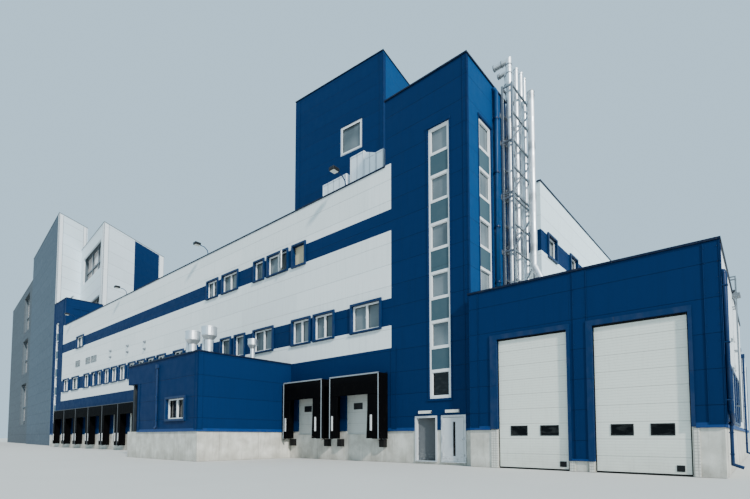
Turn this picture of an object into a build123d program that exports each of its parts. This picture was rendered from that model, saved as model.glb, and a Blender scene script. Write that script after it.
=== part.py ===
"""Factory building, scale model 1:10: long white and blue hall on a concrete base, two stair
towers with window strips, a vehicle annex with two sectional doors, loading docks, a front
annex, a roof tower, a grey tower block with an angled plan, and a lattice mast with flues.

Frame: X along the front, Y into the building, Z up. The origin lies on the ground under the
concrete base, at the right end of the right stair tower. Lengths are given in metres of the
real building, with Y from the front cladding, and turned to millimetres of the model by SCALE.
"""
from build123d import *
import math
import os

# Scale: millimetres of model for one metre of the real building
SCALE = 100.0

# Walls, roofs and floors
WALL = 0.20
ROOF_THICK = 0.30
FLOOR_THICK = 0.30
PARAPET = 0.80
COPING_HIGH = 0.08
COPING_OUT = 0.05
FIT = 0.003
PLINTH_TOP = 1.60
PLINTH_BACK = 0.04
PLINTH_THICK = 0.26
ORIGIN_BACK = PLINTH_BACK + PLINTH_THICK / 2
DOCK_FLOOR = 1.42
YARD_FLOOR = 0.10
CUT = 3.0
ROUND_SIDES = 20
SMALL_SIDES = 6

# Main hall; the front is measured from the left face of the right stair tower
STAIR_WIDE = 4.85
STAIR_DEEP = 4.25
HALL_LONG = 52.80
HALL_LEFT = -STAIR_WIDE - HALL_LONG
HALL_RIGHT = 0.90
HALL_DEPTH = 24.0
HALL_TOP = 15.60
HALL_ROOF = HALL_TOP - PARAPET
STOREY_ONE = 6.10
STOREY_TWO = 11.15
NICHE_LEFT = -0.60
NICHE_BACK = 6.60

# Stair towers, twins at both ends of the hall
STAIR_TOP = 19.20
STAIR_ROOF = 18.50
STRIP_INSET = 0.97
STRIP_WIDE = 1.17
STRIP_SILLS = [3.08, 5.44, 7.82, 10.22, 12.60, 14.98]
STRIP_HIGH = 1.38
STRIP_FRAME = 0.13
STRIP_EDGE = 0.08
STRIP_DEEP = 0.10
STRIP_BACK = 0.04
SPANDREL_DEEP = 0.03
SIDE_STRIP = (1.16, 2.42)
SIDE_SILLS = [7.90, 10.33, 12.80, 15.22]
SIDE_HIGH = 1.48

# Window rows of the front wall: distance from the stair tower, width of each opening
LOW_ROW_SILL = 7.02
LOW_ROW_HEAD = 8.46
HIGH_ROW_SILL = 12.00
HIGH_ROW_HEAD = 13.26
LOW_ROW = [(1.36, 2.00), (4.65, 1.58), (6.69, 1.56), (10.56, 2.05), (13.32, 1.15), (15.13, 1.20), (17.75, 1.60),
           (20.05, 1.60), (22.35, 1.60), (25.50, 1.50), (27.59, 1.50), (29.67, 1.50), (31.77, 1.50), (34.08, 1.50),
           (36.17, 1.40), (38.22, 1.40), (40.33, 1.30), (42.02, 1.10), (44.35, 1.50), (48.20, 2.30), (51.70, 2.05)]
HIGH_ROW = [(9.10, 2.00), (11.13, 1.00), (14.71, 1.95), (17.15, 1.45), (46.95, 2.30)]
OPEN_BAY = (6.95, 1.10)
SURROUND = 0.12
SURROUND_OUT = 0.10
FRAME = 0.06
FRAME_DEEP = 0.08
FRAME_BACK = 0.07
GLASS = 0.015
SIDE_WINDOW = (11.60, 12.80)
SIDE_WINDOWS = [(8.28, 1.30), (12.20, 1.30), (16.10, 1.30), (20.00, 1.30)]
REAR_BAYS = 12
REAR_PITCH = 4.40
REAR_WINDOW = 2.00

# Vehicle annex at the right
ANNEX_FRONT = -0.43
ANNEX_LEFT = 0.22
ANNEX_RIGHT = 9.05
ANNEX_DEPTH = 14.5
ANNEX_TOP = 7.58
ANNEX_ROOF = 7.00
DOOR_LEFT = [1.53, 5.26]
DOOR_WIDE = [2.81, 2.90]
DOOR_HIGH = 5.34
DOOR_SETBACK = 0.08
DOOR_THICK = 0.08
DOOR_WINDOWS = [[(0.54, 0.65), (1.75, 0.66)], [(0.54, 0.67), (1.77, 0.65)]]
DOOR_WINDOW_SILL = 1.35
DOOR_WINDOW_HEAD = 1.70
PIER_FOOT = 0.42
DOOR_TRIM_WIDE = [(0.32, 0.12), (0.22, 0.11)]
DOOR_TRIM_HIGH = 0.20
DOOR_TRIM_OUT = 0.05
YARD_WINDOWS = 5
YARD_PITCH = 1.80
YARD_START = 0.85
YARD_WINDOW = (1.20, 1.90, 3.70)
REAR_ANNEX_TOP = 6.30

# Front annex
OFFICE_WIDE = 8.85
OFFICE_RIGHT = -STAIR_WIDE - 7.60
OFFICE_LEFT = OFFICE_RIGHT - OFFICE_WIDE
OFFICE_FRONT = -6.15
OFFICE_TOP = 5.84
OFFICE_ROOF = 5.45
OFFICE_COPING = 0.07
PORCH_WIDE = 1.55
PORCH_DEEP = 3.0
PORCH_HEAD = 4.60
PORCH_CEILING = 0.15
OFFICE_WINDOW = (5.46, 2.07, 2.27, 3.40)
OFFICE_FLOOR = 1.35
BASE_WALL = 0.30

# Ventilators on the front annex: place, pipe radius, drum radius, drum foot and top
VENTS = [(-14.80, -5.25, 0.22, 0.41, 6.80, 7.30), (-13.55, -4.95, 0.22, 0.42, 6.92, 7.42),
         (-13.70, -2.00, 0.13, 0.28, 6.88, 7.24)]
VENT_CONE = 0.24
VENT_CURB = 0.14
VENT_CURB_SHARE = 1.35
VENT_FLOOR = 0.03
SIDE_PIPE = 0.10
SIDE_PIPE_OFF = 0.56
SIDE_PIPE_LOW = 0.15

# Personnel doors
DOOR_A = (-3.01, -1.73)
DOOR_B = (-1.52, -0.22)
DOOR_FOOT = 0.14
DOOR_HEAD = 2.28
DOOR_FRAME = 0.10
LEAF_THICK = 0.05
LEAF_SET = 0.01
LEAF_GAP = 0.02
HINGE_GAP = 0.01
AJAR = 25.0
KNUCKLE = 0.022
KNUCKLE_HIGH = 0.11
HINGE_HEIGHTS = [0.40, 1.15, 1.90]
LEVER_HEIGHT = 1.15
LEVER_REACH = 0.07
LEVER_ROSE = 0.03
LEVER_LONG = 0.14
LEVER_THICK = 0.025
SLOT_WIDE = 0.09
SLOT = (0.43, 1.95)
LAMP_WIDE = 0.70

# Loading docks
SHELTER_DEEP = 0.74
SHELTER_TOP = 4.53
SHELTER_FOOT = 1.18
SHELTER_FRAME = 0.10
CURTAIN = 0.42
CURTAIN_HEAD = 0.95
CURTAIN_THICK = 0.06
RIGHT_SHELTERS = [(-STAIR_WIDE - 7.40, 3.38), (-STAIR_WIDE - 3.38, 3.53)]
LEFT_DOCKS = 9
LEFT_DOCK_PITCH = 4.10
LEFT_DOCK_START = HALL_LEFT - 0.65
LEFT_DOCK_FOOT = 0.45
DOCK_DOOR_WIDE = 2.40
DOCK_DOOR_HIGH = 2.75
DOCK_DOOR_BACK = 0.10
BUMPER_WIDE = 0.32
BUMPER_APART = 3.04
BUMPER_OUT = 0.22
BUMPER = (0.75, 1.16)

# Roof tower, turned a little in plan
ROOF_TOWER_CORNER = (-STAIR_WIDE - 7.25, 8.64)
ROOF_TOWER_TURN = 4.7
ROOF_TOWER_LEAN = 7.5
ROOF_TOWER_WIDE = 9.75
ROOF_TOWER_DEEP = 8.5
ROOF_TOWER_TOP = 32.10
ROOF_TOWER_WINDOW = (2.09, 2.33, 24.86, 27.38)
ROOF_LOW = 0.65

# Roof units: left, right, foot, top at the left, top at the right
UNIT_FRONT = 1.20
UNIT_DEEP = 1.60
UNITS = [(-10.95, -8.85, 15.30, 17.30, 17.30), (-8.55, -7.45, 15.10, 18.15, 18.15), (-7.44, -6.56, 15.10, 18.05, 17.65),
         (-6.55, -5.95, 15.10, 17.65, 17.65)]
UNIT_LEG = 0.12
LIGHTS = [-7.85, -22.95, -38.64, -54.06]
LIGHT_REACH = 0.62
LIGHT_PIPE = 0.035

# Grey tower block: directions of its dark and its light faces in plan
DARK_WAY = (-0.9953, 0.0974)
LIGHT_WAY = (-0.4926, 0.8703)
GREY_CORNER = (HALL_LEFT - 12.05, 1.92)
GREY_LONG = 25.0
GREY_DEEP = 5.30
GREY_TOP = 35.10
GREY_TWO_CORNER = (HALL_LEFT - 0.67, STAIR_DEEP + COPING_OUT + FIT)
GREY_TWO_DEEP = 12.76
GREY_TWO_TOP = 31.00
GREY_THREE_LONG = 35.5
GREY_THREE_DEEP = 9.0
GREY_THREE_TOP = 32.20
GREY_THREE_BACK = 0.60
HALL_OF_GLASS = (1.45, 11.75)
BIG_WINDOWS = [(24.90, 29.00), (17.00, 21.10)]
GLAZED_STRIP = (7.00, 14.20)
GLAZED_FLOORS = [(3.80, 12.15), (14.20, 21.30), (23.00, 30.60)]
GREY_FRAME = 0.22
GREY_FRAME_BACK = 0.42
GREY_FRAME_DEEP = 0.15
TRANSOM_SHARE = 0.45

# Flue mast: lattice of square bars, with rails at these heights
MAST_LEFT = 0.11
MAST_RIGHT = 0.62
MAST_FRONT = 3.62
MAST_BACK = 6.25
MAST_TOP = 19.60
MAST_POST = 0.10
MAST_RAIL = 0.08
MAST_BRACE = 0.06
MAST_LEVELS = [7.90, 10.75, 13.55, 13.80, 16.55, 19.50]
MAST_MIDS = [9.30, 12.15, 15.15, 18.05]
BRACKETS = [10.75, 13.55, 13.80, 16.55, 18.05]
MAST_PLATE = 0.24
MAST_CLEAR = 0.70
STRAIGHT_FLUES = [(0.34, 4.86, 21.20, 0.125), (0.34, 5.49, 21.35, 0.12), (0.34, 5.98, 21.35, 0.09)]
FLUE_RIM = 0.02
FLUE_CAP = 0.16
FLUE_CAP_SHARE = 0.4
BEND_FLUES = [(0.34, 3.97, 21.13, 0.15, 0.85), (-0.05, 4.56, 21.05, 0.12, 0.50)]
BIG_FLUE = (0.97, 5.30, 19.85, 0.19)
BIG_FLUE_OFFSET = (0.48, 10.30, 9.25)

# Rain pipes: place, top, foot
PIPE = 0.055
PIPE_OFF = 0.07
HOPPER = 0.22

# Roof ladder on the side of the vehicle annex
LADDER_Y = 7.00
LADDER_WIDE = 0.45
LADDER_OFF = 0.14
LADDER_RAIL = 0.025
LADDER_FOOT = 1.90
LADDER_TOP = 8.25
LADDER_REACH = 0.30
LADDER_TIES = [2.60, 5.00, 6.90]
RUNG = 0.024
RUNG_PITCH = 0.35

nodes = {}


def mm(value):
    """Metres of the real building to millimetres of the model."""
    return value * SCALE


def block(x0, x1, y0, y1, z0, z1):
    """A box between two corners given in real metres."""
    solid = Solid.make_box(mm(x1 - x0), mm(y1 - y0), mm(z1 - z0))
    return solid.moved(Location((mm(x0), mm(y0), mm(z0))))


def tube(x, y, z0, z1, radius):
    """An upright round bar."""
    return Solid.make_cylinder(mm(radius), mm(z1 - z0)).moved(Location((mm(x), mm(y), mm(z0))))


def bar(start, end, thick):
    """A square bar between two points in real metres."""
    first = Vector(*[mm(v) for v in start])
    last = Vector(*[mm(v) for v in end])
    section = Plane(origin=first, z_dir=last - first) * Rectangle(mm(thick), mm(thick))
    return Solid.extrude(section.face(), last - first)


def drum(x, y, z0, z1, low, high=None, sides=ROUND_SIDES):
    """An upright bar of many flat sides, between two radii if a second one is given."""
    top = low if high is None else high
    outlines = []
    for z, radius in ((z0, low), (z1, top)):
        polygon = RegularPolygon(mm(radius), sides)
        outlines.append(polygon.face().outer_wire().moved(Location((mm(x), mm(y), mm(z)))))
    return Solid.make_loft(outlines, ruled=True)


def pipe(points, radius, sides=0):
    """A pipe through points in real metres, with mitred bends: round, or of a few flat sides."""
    corners = [Vector(*[mm(v) for v in point]) for point in points]
    outline = RegularPolygon(mm(radius), sides) if sides else Circle(mm(radius))
    section = Plane(origin=corners[0], z_dir=corners[1] - corners[0]) * outline
    return sweep(section, path=Polyline(*corners), transition=Transition.RIGHT)


def prism(points, z0, z1):
    """An upright prism on a plan outline of points in real metres."""
    outline = Polyline(*[(mm(x), mm(y), mm(z0)) for x, y in points], close=True)
    return Solid.extrude(make_face(outline).face(), Vector(0, 0, mm(z1 - z0)))


def profile(points, y0, y1):
    """A prism along Y on an outline of points in X and Z."""
    outline = Polyline(*[(mm(x), mm(y0), mm(z)) for x, z in points], close=True)
    return Solid.extrude(make_face(outline).face(), Vector(0, mm(y1 - y0), 0))


def cut(solid, tools):
    """Take a list of tools out of a solid."""
    result = solid
    for tool in tools:
        result = result - tool
    return result


def add(name, shapes):
    """Store a node as solids: one, or several that don't touch."""
    solids = []
    for shape in shapes if isinstance(shapes, (list, tuple)) else [shapes]:
        solids.extend(shape.solids())
    nodes[name] = solids


def step(start, way, distance):
    """A plan point at a distance from another along a direction."""
    return (start[0] + way[0] * distance, start[1] + way[1] * distance)


def parallelogram(corner, first, second, long, deep):
    """The four plan corners of a block with the given two sides."""
    far = step(corner, first, long)
    return [corner, far, step(far, second, deep), step(corner, second, deep)]


def inset(points, distance):
    """Move every side of a convex plan outline inwards by a distance."""
    count = len(points)
    area = sum(points[i][0] * points[(i + 1) % count][1] - points[(i + 1) % count][0] * points[i][1]
               for i in range(count))
    sign = 1.0 if area > 0 else -1.0
    lines = []
    for i in range(count):
        (ax, ay), (bx, by) = points[i], points[(i + 1) % count]
        length = math.hypot(bx - ax, by - ay)
        nx, ny = -(by - ay) / length * sign, (bx - ax) / length * sign
        lines.append((ax + nx * distance, ay + ny * distance, bx - ax, by - ay))
    moved = []
    for i in range(count):
        ax, ay, adx, ady = lines[i - 1]
        bx, by, bdx, bdy = lines[i]
        t = ((bx - ax) * bdy - (by - ay) * bdx) / (adx * bdy - ady * bdx)
        moved.append((ax + adx * t, ay + ady * t))
    return moved


def ring(points, thick, z0, z1):
    """Upright walls of one thickness on a plan outline."""
    inner = prism(inset(points, thick), z0 - CUT, z1 + CUT)
    return prism(points, z0, z1) - inner


def wall_slot(corner, way, start, end, z0, z1, near=-1.0, far=1.0):
    """A cutting box along a slanted wall, from its face inwards."""
    normal = (way[1], -way[0])
    a, b = step(corner, way, start), step(corner, way, end)
    return prism([step(a, normal, near), step(b, normal, near), step(b, normal, far), step(a, normal, far)], z0, z1)


# Places that several pieces share
TOWER_LEFT = -STAIR_WIDE
INNER_LEFT = HALL_LEFT + WALL + FIT
INNER_RIGHT = TOWER_LEFT - FIT
INNER_FRONT = WALL + FIT
INNER_BACK = HALL_DEPTH - WALL - FIT
WALL_TOP = HALL_TOP - COPING_HIGH
low_row = [(TOWER_LEFT - distance, width) for distance, width in LOW_ROW]
high_row = [(TOWER_LEFT - distance, width) for distance, width in HIGH_ROW]
open_bay = (TOWER_LEFT - OPEN_BAY[0], OPEN_BAY[1])
rear_row = [(TOWER_LEFT - REAR_PITCH * i, REAR_WINDOW) for i in range(REAR_BAYS)]
right_shelters = [(x, x + w) for x, w in RIGHT_SHELTERS]
left_shelters = [(LEFT_DOCK_START + LEFT_DOCK_PITCH * i, LEFT_DOCK_START + LEFT_DOCK_PITCH * (i + 1))
                 for i in range(LEFT_DOCKS)]
right_dock_centres = [sum(pair) / 2 for pair in right_shelters]
dock_centres = [sum(pair) / 2 for pair in left_shelters] + right_dock_centres
dock_pockets = [block(c - DOCK_DOOR_WIDE / 2, c + DOCK_DOOR_WIDE / 2, -CUT, CUT, DOCK_FLOOR,
                      DOCK_FLOOR + DOCK_DOOR_HIGH) for c in dock_centres]


def row_holes(row, sill, head, y0, y1):
    """The cutting boxes of a row of windows in a wall along X."""
    return [block(x - w / 2, x + w / 2, y0, y1, sill, head) for x, w in row]


# Walls of the hall: cladding from the base to the parapet
front = block(HALL_LEFT, TOWER_LEFT, 0, WALL, PLINTH_TOP, WALL_TOP)
front = cut(front, row_holes(low_row, LOW_ROW_SILL, LOW_ROW_HEAD, -CUT, CUT))
front = cut(front, row_holes(high_row + [open_bay], HIGH_ROW_SILL, HIGH_ROW_HEAD, -CUT, CUT))
add("hall_front_wall", cut(front, dock_pockets))
niche = block(NICHE_LEFT - WALL, NICHE_LEFT, STAIR_DEEP, NICHE_BACK + WALL, 0, WALL_TOP)
returned = block(NICHE_LEFT, HALL_RIGHT, NICHE_BACK, NICHE_BACK + WALL, 0, WALL_TOP)
side = block(HALL_RIGHT - WALL, HALL_RIGHT, NICHE_BACK + WALL, HALL_DEPTH - WALL, 0, WALL_TOP)
side = cut(side, [block(0, CUT, y - w / 2, y + w / 2, *SIDE_WINDOW) for y, w in SIDE_WINDOWS])
add("hall_right_wall", niche + returned + side)
rear = block(HALL_LEFT, HALL_RIGHT, HALL_DEPTH - WALL, HALL_DEPTH, PLINTH_TOP, WALL_TOP)
rear = cut(rear, row_holes(rear_row, LOW_ROW_SILL, LOW_ROW_HEAD, HALL_DEPTH - CUT, HALL_DEPTH + CUT))
rear = cut(rear, row_holes(rear_row, HIGH_ROW_SILL, HIGH_ROW_HEAD, HALL_DEPTH - CUT, HALL_DEPTH + CUT))
add("hall_rear_wall", rear)
add("hall_left_wall", block(HALL_LEFT, HALL_LEFT + WALL, STAIR_DEEP, HALL_DEPTH - WALL, PLINTH_TOP, WALL_TOP))


# Floors and roof of the hall
def hall_plate(z0, z1):
    """A floor or roof plate that fills the hall between its walls and round the stair tower."""
    plate = block(INNER_LEFT, INNER_RIGHT, INNER_FRONT, INNER_BACK, z0, z1)
    middle = block(INNER_RIGHT, NICHE_LEFT - WALL - FIT, STAIR_DEEP + FIT, INNER_BACK, z0, z1)
    right = block(NICHE_LEFT - WALL - FIT, HALL_RIGHT - WALL - FIT, NICHE_BACK + WALL + FIT, INNER_BACK, z0, z1)
    return plate + middle + right


base_inside = PLINTH_BACK + PLINTH_THICK + FIT
add("dock_floor", block(HALL_LEFT + base_inside, INNER_RIGHT, base_inside, HALL_DEPTH - base_inside,
                        DOCK_FLOOR - FLOOR_THICK, DOCK_FLOOR))
add("first_floor", hall_plate(STOREY_ONE - FLOOR_THICK, STOREY_ONE))
add("second_floor", hall_plate(STOREY_TWO - FLOOR_THICK, STOREY_TWO))
add("hall_roof", hall_plate(HALL_ROOF - ROOF_THICK, HALL_ROOF))

# Copings along the parapets of the hall
coping_in = WALL + COPING_OUT
coping = block(HALL_LEFT + FIT, TOWER_LEFT - FIT, -COPING_OUT, coping_in, WALL_TOP, HALL_TOP)
coping += block(HALL_RIGHT - coping_in, HALL_RIGHT + COPING_OUT, NICHE_BACK - COPING_OUT, HALL_DEPTH + COPING_OUT,
                WALL_TOP, HALL_TOP)
coping += block(NICHE_LEFT - coping_in, HALL_RIGHT, NICHE_BACK - COPING_OUT, NICHE_BACK + coping_in, WALL_TOP, HALL_TOP)
coping += block(NICHE_LEFT - coping_in, NICHE_LEFT + COPING_OUT, STAIR_DEEP + FIT, NICHE_BACK, WALL_TOP, HALL_TOP)
coping += block(HALL_LEFT - COPING_OUT, HALL_RIGHT, HALL_DEPTH - coping_in, HALL_DEPTH + COPING_OUT, WALL_TOP, HALL_TOP)
coping += block(HALL_LEFT - COPING_OUT, HALL_LEFT + coping_in, STAIR_DEEP + FIT, HALL_DEPTH, WALL_TOP, HALL_TOP)
add("hall_coping", coping)


# Window frames: made lying along X with the outside towards -Y, then turned into their wall
def frame(width, height, bars, thick=FRAME, deep=FRAME_DEEP, transoms=()):
    """A window frame with upright bars and cross bars, centred on its width."""
    result = block(-width / 2, width / 2, 0, deep, 0, height)
    result -= block(-width / 2 + thick, width / 2 - thick, -CUT, CUT, thick, height - thick)
    for i in range(bars):
        centre = -width / 2 + width * (i + 1) / (bars + 1)
        result += block(centre - thick * 0.7, centre + thick * 0.7, 0, deep, thick / 2, height - thick / 2)
    for z in transoms:
        result += block(-width / 2 + thick / 2, width / 2 - thick / 2, 0, deep, z - thick / 2, z + thick / 2)
    return result


def place(solid, x, y, z, turn=0.0):
    """Turn a solid about Z and set it down at a place in real metres."""
    return solid.moved(Location((mm(x), mm(y), mm(z)), (0, 0, turn)))


def surround(x, w, z0, z1):
    """The blue metal box round a window, standing proud of the cladding."""
    outer = block(x - w / 2 - SURROUND, x + w / 2 + SURROUND, -SURROUND_OUT, 0, z0 - SURROUND, z1 + SURROUND)
    return outer - block(x - w / 2, x + w / 2, -CUT, CUT, z0, z1)


low_high = LOW_ROW_HEAD - LOW_ROW_SILL
high_high = HIGH_ROW_HEAD - HIGH_ROW_SILL
windows = [place(frame(w, low_high, 1 if w > 1.3 else 0), x, FRAME_BACK, LOW_ROW_SILL) for x, w in low_row]
windows += [place(frame(w, high_high, 1 if w > 1.3 else 0), x, FRAME_BACK, HIGH_ROW_SILL) for x, w in high_row]
windows += [place(frame(w, SIDE_WINDOW[1] - SIDE_WINDOW[0], 0), HALL_RIGHT - FRAME_BACK, y, SIDE_WINDOW[0], 90)
            for y, w in SIDE_WINDOWS]
for sill, height in ((LOW_ROW_SILL, low_high), (HIGH_ROW_SILL, high_high)):
    windows += [place(frame(w, height, 0), x, HALL_DEPTH - FRAME_BACK, sill, 180) for x, w in rear_row]
surrounds = [surround(x, w, LOW_ROW_SILL, LOW_ROW_HEAD) for x, w in low_row]
surrounds += [surround(x, w, HIGH_ROW_SILL, HIGH_ROW_HEAD) for x, w in high_row + [open_bay]]
surrounds += [place(surround(0, w, *SIDE_WINDOW), HALL_RIGHT, y, 0, 90) for y, w in SIDE_WINDOWS]
glass_low = (LOW_ROW_SILL - SURROUND, LOW_ROW_HEAD + SURROUND)
glass_high = (HIGH_ROW_SILL - SURROUND, HIGH_ROW_HEAD + SURROUND)
panes = [block(INNER_LEFT, INNER_RIGHT, WALL, WALL + GLASS, *glass_low),
         block(INNER_LEFT, open_bay[0] - open_bay[1], WALL, WALL + GLASS, *glass_high)]
panes += [block(INNER_LEFT, HALL_RIGHT - WALL - FIT, HALL_DEPTH - WALL - GLASS, HALL_DEPTH - WALL, *span)
          for span in (glass_low, glass_high)]
panes.append(block(HALL_RIGHT - WALL - GLASS, HALL_RIGHT - WALL, NICHE_BACK + WALL + FIT, HALL_DEPTH - WALL - GLASS - FIT,
                   SIDE_WINDOW[0] - SURROUND, SIDE_WINDOW[1] + SURROUND))


# Concrete base
def base_strip(x0, x1, y0, y1):
    """A straight length of the concrete base."""
    return block(x0, x1, y0, y1, 0, PLINTH_TOP)


FAR_LEFT = HALL_LEFT - STAIR_WIDE
back = PLINTH_BACK
thick = PLINTH_BACK + PLINTH_THICK
base = base_strip(FAR_LEFT + back, ANNEX_LEFT - FIT, back, thick)
base += base_strip(FAR_LEFT + back, FAR_LEFT + thick, back, STAIR_DEEP - back)
base += base_strip(FAR_LEFT + back, HALL_LEFT + WALL, STAIR_DEEP - thick, STAIR_DEEP - back)
base += base_strip(HALL_LEFT + back, HALL_LEFT + thick, STAIR_DEEP - thick, HALL_DEPTH - back)
base += base_strip(HALL_LEFT + back, HALL_RIGHT - WALL - FIT, HALL_DEPTH - thick, HALL_DEPTH - back)
base += base_strip(-thick, -back, thick, STAIR_DEEP - WALL)
personnel_pockets = [block(x0, x1, -CUT, CUT, DOOR_FOOT, DOOR_HEAD) for x0, x1 in (DOOR_A, DOOR_B)]
add("hall_base", cut(base, personnel_pockets + dock_pockets))

# Right stair tower
strip_x0 = -STRIP_INSET - STRIP_WIDE
strip_foot = STRIP_SILLS[0]
strip_top = STRIP_SILLS[-1] + STRIP_HIGH
side_foot = SIDE_SILLS[0]
side_top = SIDE_SILLS[-1] + SIDE_HIGH
tower_wall_top = STAIR_TOP - COPING_HIGH
stair_front = block(TOWER_LEFT, 0, 0, WALL, PLINTH_TOP, tower_wall_top)
strip_hole = block(strip_x0, strip_x0 + STRIP_WIDE, -CUT, CUT, strip_foot, strip_top)
add("stair_tower_front", cut(stair_front, [strip_hole] + personnel_pockets))
stair_side = block(-WALL, 0, WALL, STAIR_DEEP, PLINTH_TOP, tower_wall_top)
add("stair_tower_side", stair_side - block(-CUT, CUT, *SIDE_STRIP, side_foot, side_top))
stair_rest = block(TOWER_LEFT, TOWER_LEFT + WALL, WALL, STAIR_DEEP, 0, tower_wall_top)
stair_rest += block(TOWER_LEFT, -WALL, STAIR_DEEP - WALL, STAIR_DEEP, 0, tower_wall_top)
stair_rest -= block(TOWER_LEFT - CUT, TOWER_LEFT + CUT, -CUT, thick + FIT, -CUT, PLINTH_TOP)
add("stair_tower_inner_walls", stair_rest)


def box_coping(x0, x1, y0, y1, top):
    """A coping that runs round the top of four walls."""
    outer = block(x0 - COPING_OUT, x1 + COPING_OUT, y0 - COPING_OUT, y1 + COPING_OUT, top - COPING_HIGH, top)
    return outer - block(x0 + coping_in, x1 - coping_in, y0 + coping_in, y1 - coping_in, top - CUT, top + CUT)


def tower_roof(x0):
    """The roof plate between the four walls of a stair tower."""
    return block(x0 + WALL + FIT, x0 + STAIR_WIDE - WALL - FIT, WALL + FIT, STAIR_DEEP - WALL - FIT,
                 STAIR_ROOF - ROOF_THICK, STAIR_ROOF)


def strip(width, sills, high):
    """A tall frame with one window above another and a recessed panel between each two."""
    low, top = sills[0], sills[-1] + high
    result = block(0, width, 0, STRIP_DEEP, low, top)
    for sill in sills:
        result -= block(STRIP_FRAME, width - STRIP_FRAME, -CUT, CUT, sill + STRIP_FRAME, sill + high - STRIP_FRAME)
    for sill, following in zip(sills[:-1], sills[1:]):
        result -= block(STRIP_EDGE, width - STRIP_EDGE, -CUT, SPANDREL_DEEP, sill + high, following)
    return result


# Left stair tower, the twin of the right one, with two blind panels over the hall roof
left_strip = FAR_LEFT + STRIP_INSET
shell = block(FAR_LEFT, HALL_LEFT, 0, STAIR_DEEP, PLINTH_TOP, tower_wall_top)
shell -= block(FAR_LEFT + WALL, HALL_LEFT - WALL, WALL, STAIR_DEEP - WALL, 0, STAIR_TOP)
shell -= block(left_strip, left_strip + STRIP_WIDE, -CUT, CUT, strip_foot, strip_top)
BLIND_PANELS = [(0.80, 1.60), (1.80, 2.60)]
BLIND_HEIGHTS = (16.60, 17.90)
BLIND_DEEP = 0.06
shell = cut(shell, [block(HALL_LEFT - BLIND_DEEP, HALL_LEFT + CUT, y0, y1, *BLIND_HEIGHTS) for y0, y1 in BLIND_PANELS])
add("left_stair_tower", shell)
add("stair_tower_roofs", [tower_roof(TOWER_LEFT), tower_roof(FAR_LEFT)])
add("stair_tower_copings", [box_coping(TOWER_LEFT, 0, 0, STAIR_DEEP, STAIR_TOP),
                            box_coping(FAR_LEFT, HALL_LEFT, 0, STAIR_DEEP, STAIR_TOP)])
add("stair_windows", [place(strip(STRIP_WIDE, STRIP_SILLS, STRIP_HIGH), strip_x0, STRIP_BACK, 0),
                      place(strip(SIDE_STRIP[1] - SIDE_STRIP[0], SIDE_SILLS, SIDE_HIGH), -STRIP_BACK, SIDE_STRIP[0], 0, 90),
                      place(strip(STRIP_WIDE, STRIP_SILLS, STRIP_HIGH), left_strip, STRIP_BACK, 0)])
behind = STRIP_BACK + STRIP_DEEP
panes += [block(x, x + STRIP_WIDE, behind, behind + GLASS, strip_foot, strip_top) for x in (strip_x0, left_strip)]
panes.append(block(-behind - GLASS, -behind, *SIDE_STRIP, side_foot, side_top))

# Vehicle annex
annex_top = ANNEX_TOP - COPING_HIGH
mast_bay = MAST_FRONT - MAST_CLEAR
doors = list(zip(DOOR_LEFT, DOOR_WIDE))
door_holes = [block(x, x + w, -CUT, 1, -1, DOOR_HIGH) for x, w in doors]
pier_left = DOOR_LEFT[0] + DOOR_WIDE[0]
pier_right = DOOR_LEFT[1]
annex_front = block(ANNEX_LEFT, ANNEX_RIGHT, ANNEX_FRONT, ANNEX_FRONT + WALL, PLINTH_TOP, annex_top)
annex_front += block(pier_left, pier_right, ANNEX_FRONT, ANNEX_FRONT + WALL, PIER_FOOT, PLINTH_TOP)
add("annex_front_wall", cut(annex_front, door_holes))
yard_windows = [YARD_START + YARD_PITCH * i for i in range(YARD_WINDOWS)]
annex_side = block(ANNEX_RIGHT - WALL, ANNEX_RIGHT, ANNEX_FRONT + WALL, ANNEX_DEPTH, PLINTH_TOP, annex_top)
annex_side = cut(annex_side, [block(ANNEX_RIGHT - CUT, ANNEX_RIGHT + CUT, y - YARD_WINDOW[0] / 2, y + YARD_WINDOW[0] / 2,
                                    YARD_WINDOW[1], YARD_WINDOW[2]) for y in yard_windows])
add("annex_right_wall", annex_side)
windows += [place(frame(YARD_WINDOW[0], YARD_WINDOW[2] - YARD_WINDOW[1], 0), ANNEX_RIGHT - FRAME_BACK, y, YARD_WINDOW[1],
                  90) for y in yard_windows]
yard_side = YARD_WINDOW[0] / 2 + SURROUND
panes.append(block(ANNEX_RIGHT - WALL - GLASS, ANNEX_RIGHT - WALL, yard_windows[0] - yard_side,
                   yard_windows[-1] + yard_side, YARD_WINDOW[1] - SURROUND, YARD_WINDOW[2] + SURROUND))
add("annex_rear_and_left_walls",
    [block(HALL_RIGHT + FIT, ANNEX_RIGHT - WALL, ANNEX_DEPTH - WALL, ANNEX_DEPTH, PLINTH_TOP, annex_top),
     block(ANNEX_LEFT, ANNEX_LEFT + WALL, ANNEX_FRONT + WALL, mast_bay - FIT, PLINTH_TOP, annex_top)])
roof_z0 = ANNEX_ROOF - ROOF_THICK
roof_right = ANNEX_RIGHT - WALL - FIT
annex_roof = block(ANNEX_LEFT + WALL + FIT, roof_right, ANNEX_FRONT + WALL + FIT, mast_bay, roof_z0, ANNEX_ROOF)
annex_roof += block(FIT, roof_right, mast_bay, NICHE_BACK - FIT, roof_z0, ANNEX_ROOF)
annex_roof += block(NICHE_LEFT + FIT, FIT, STAIR_DEEP + FIT, NICHE_BACK - FIT, roof_z0, ANNEX_ROOF)
annex_roof += block(HALL_RIGHT + FIT, roof_right, NICHE_BACK - FIT, ANNEX_DEPTH - WALL - FIT, roof_z0, ANNEX_ROOF)
add("annex_roof", annex_roof)
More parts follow.
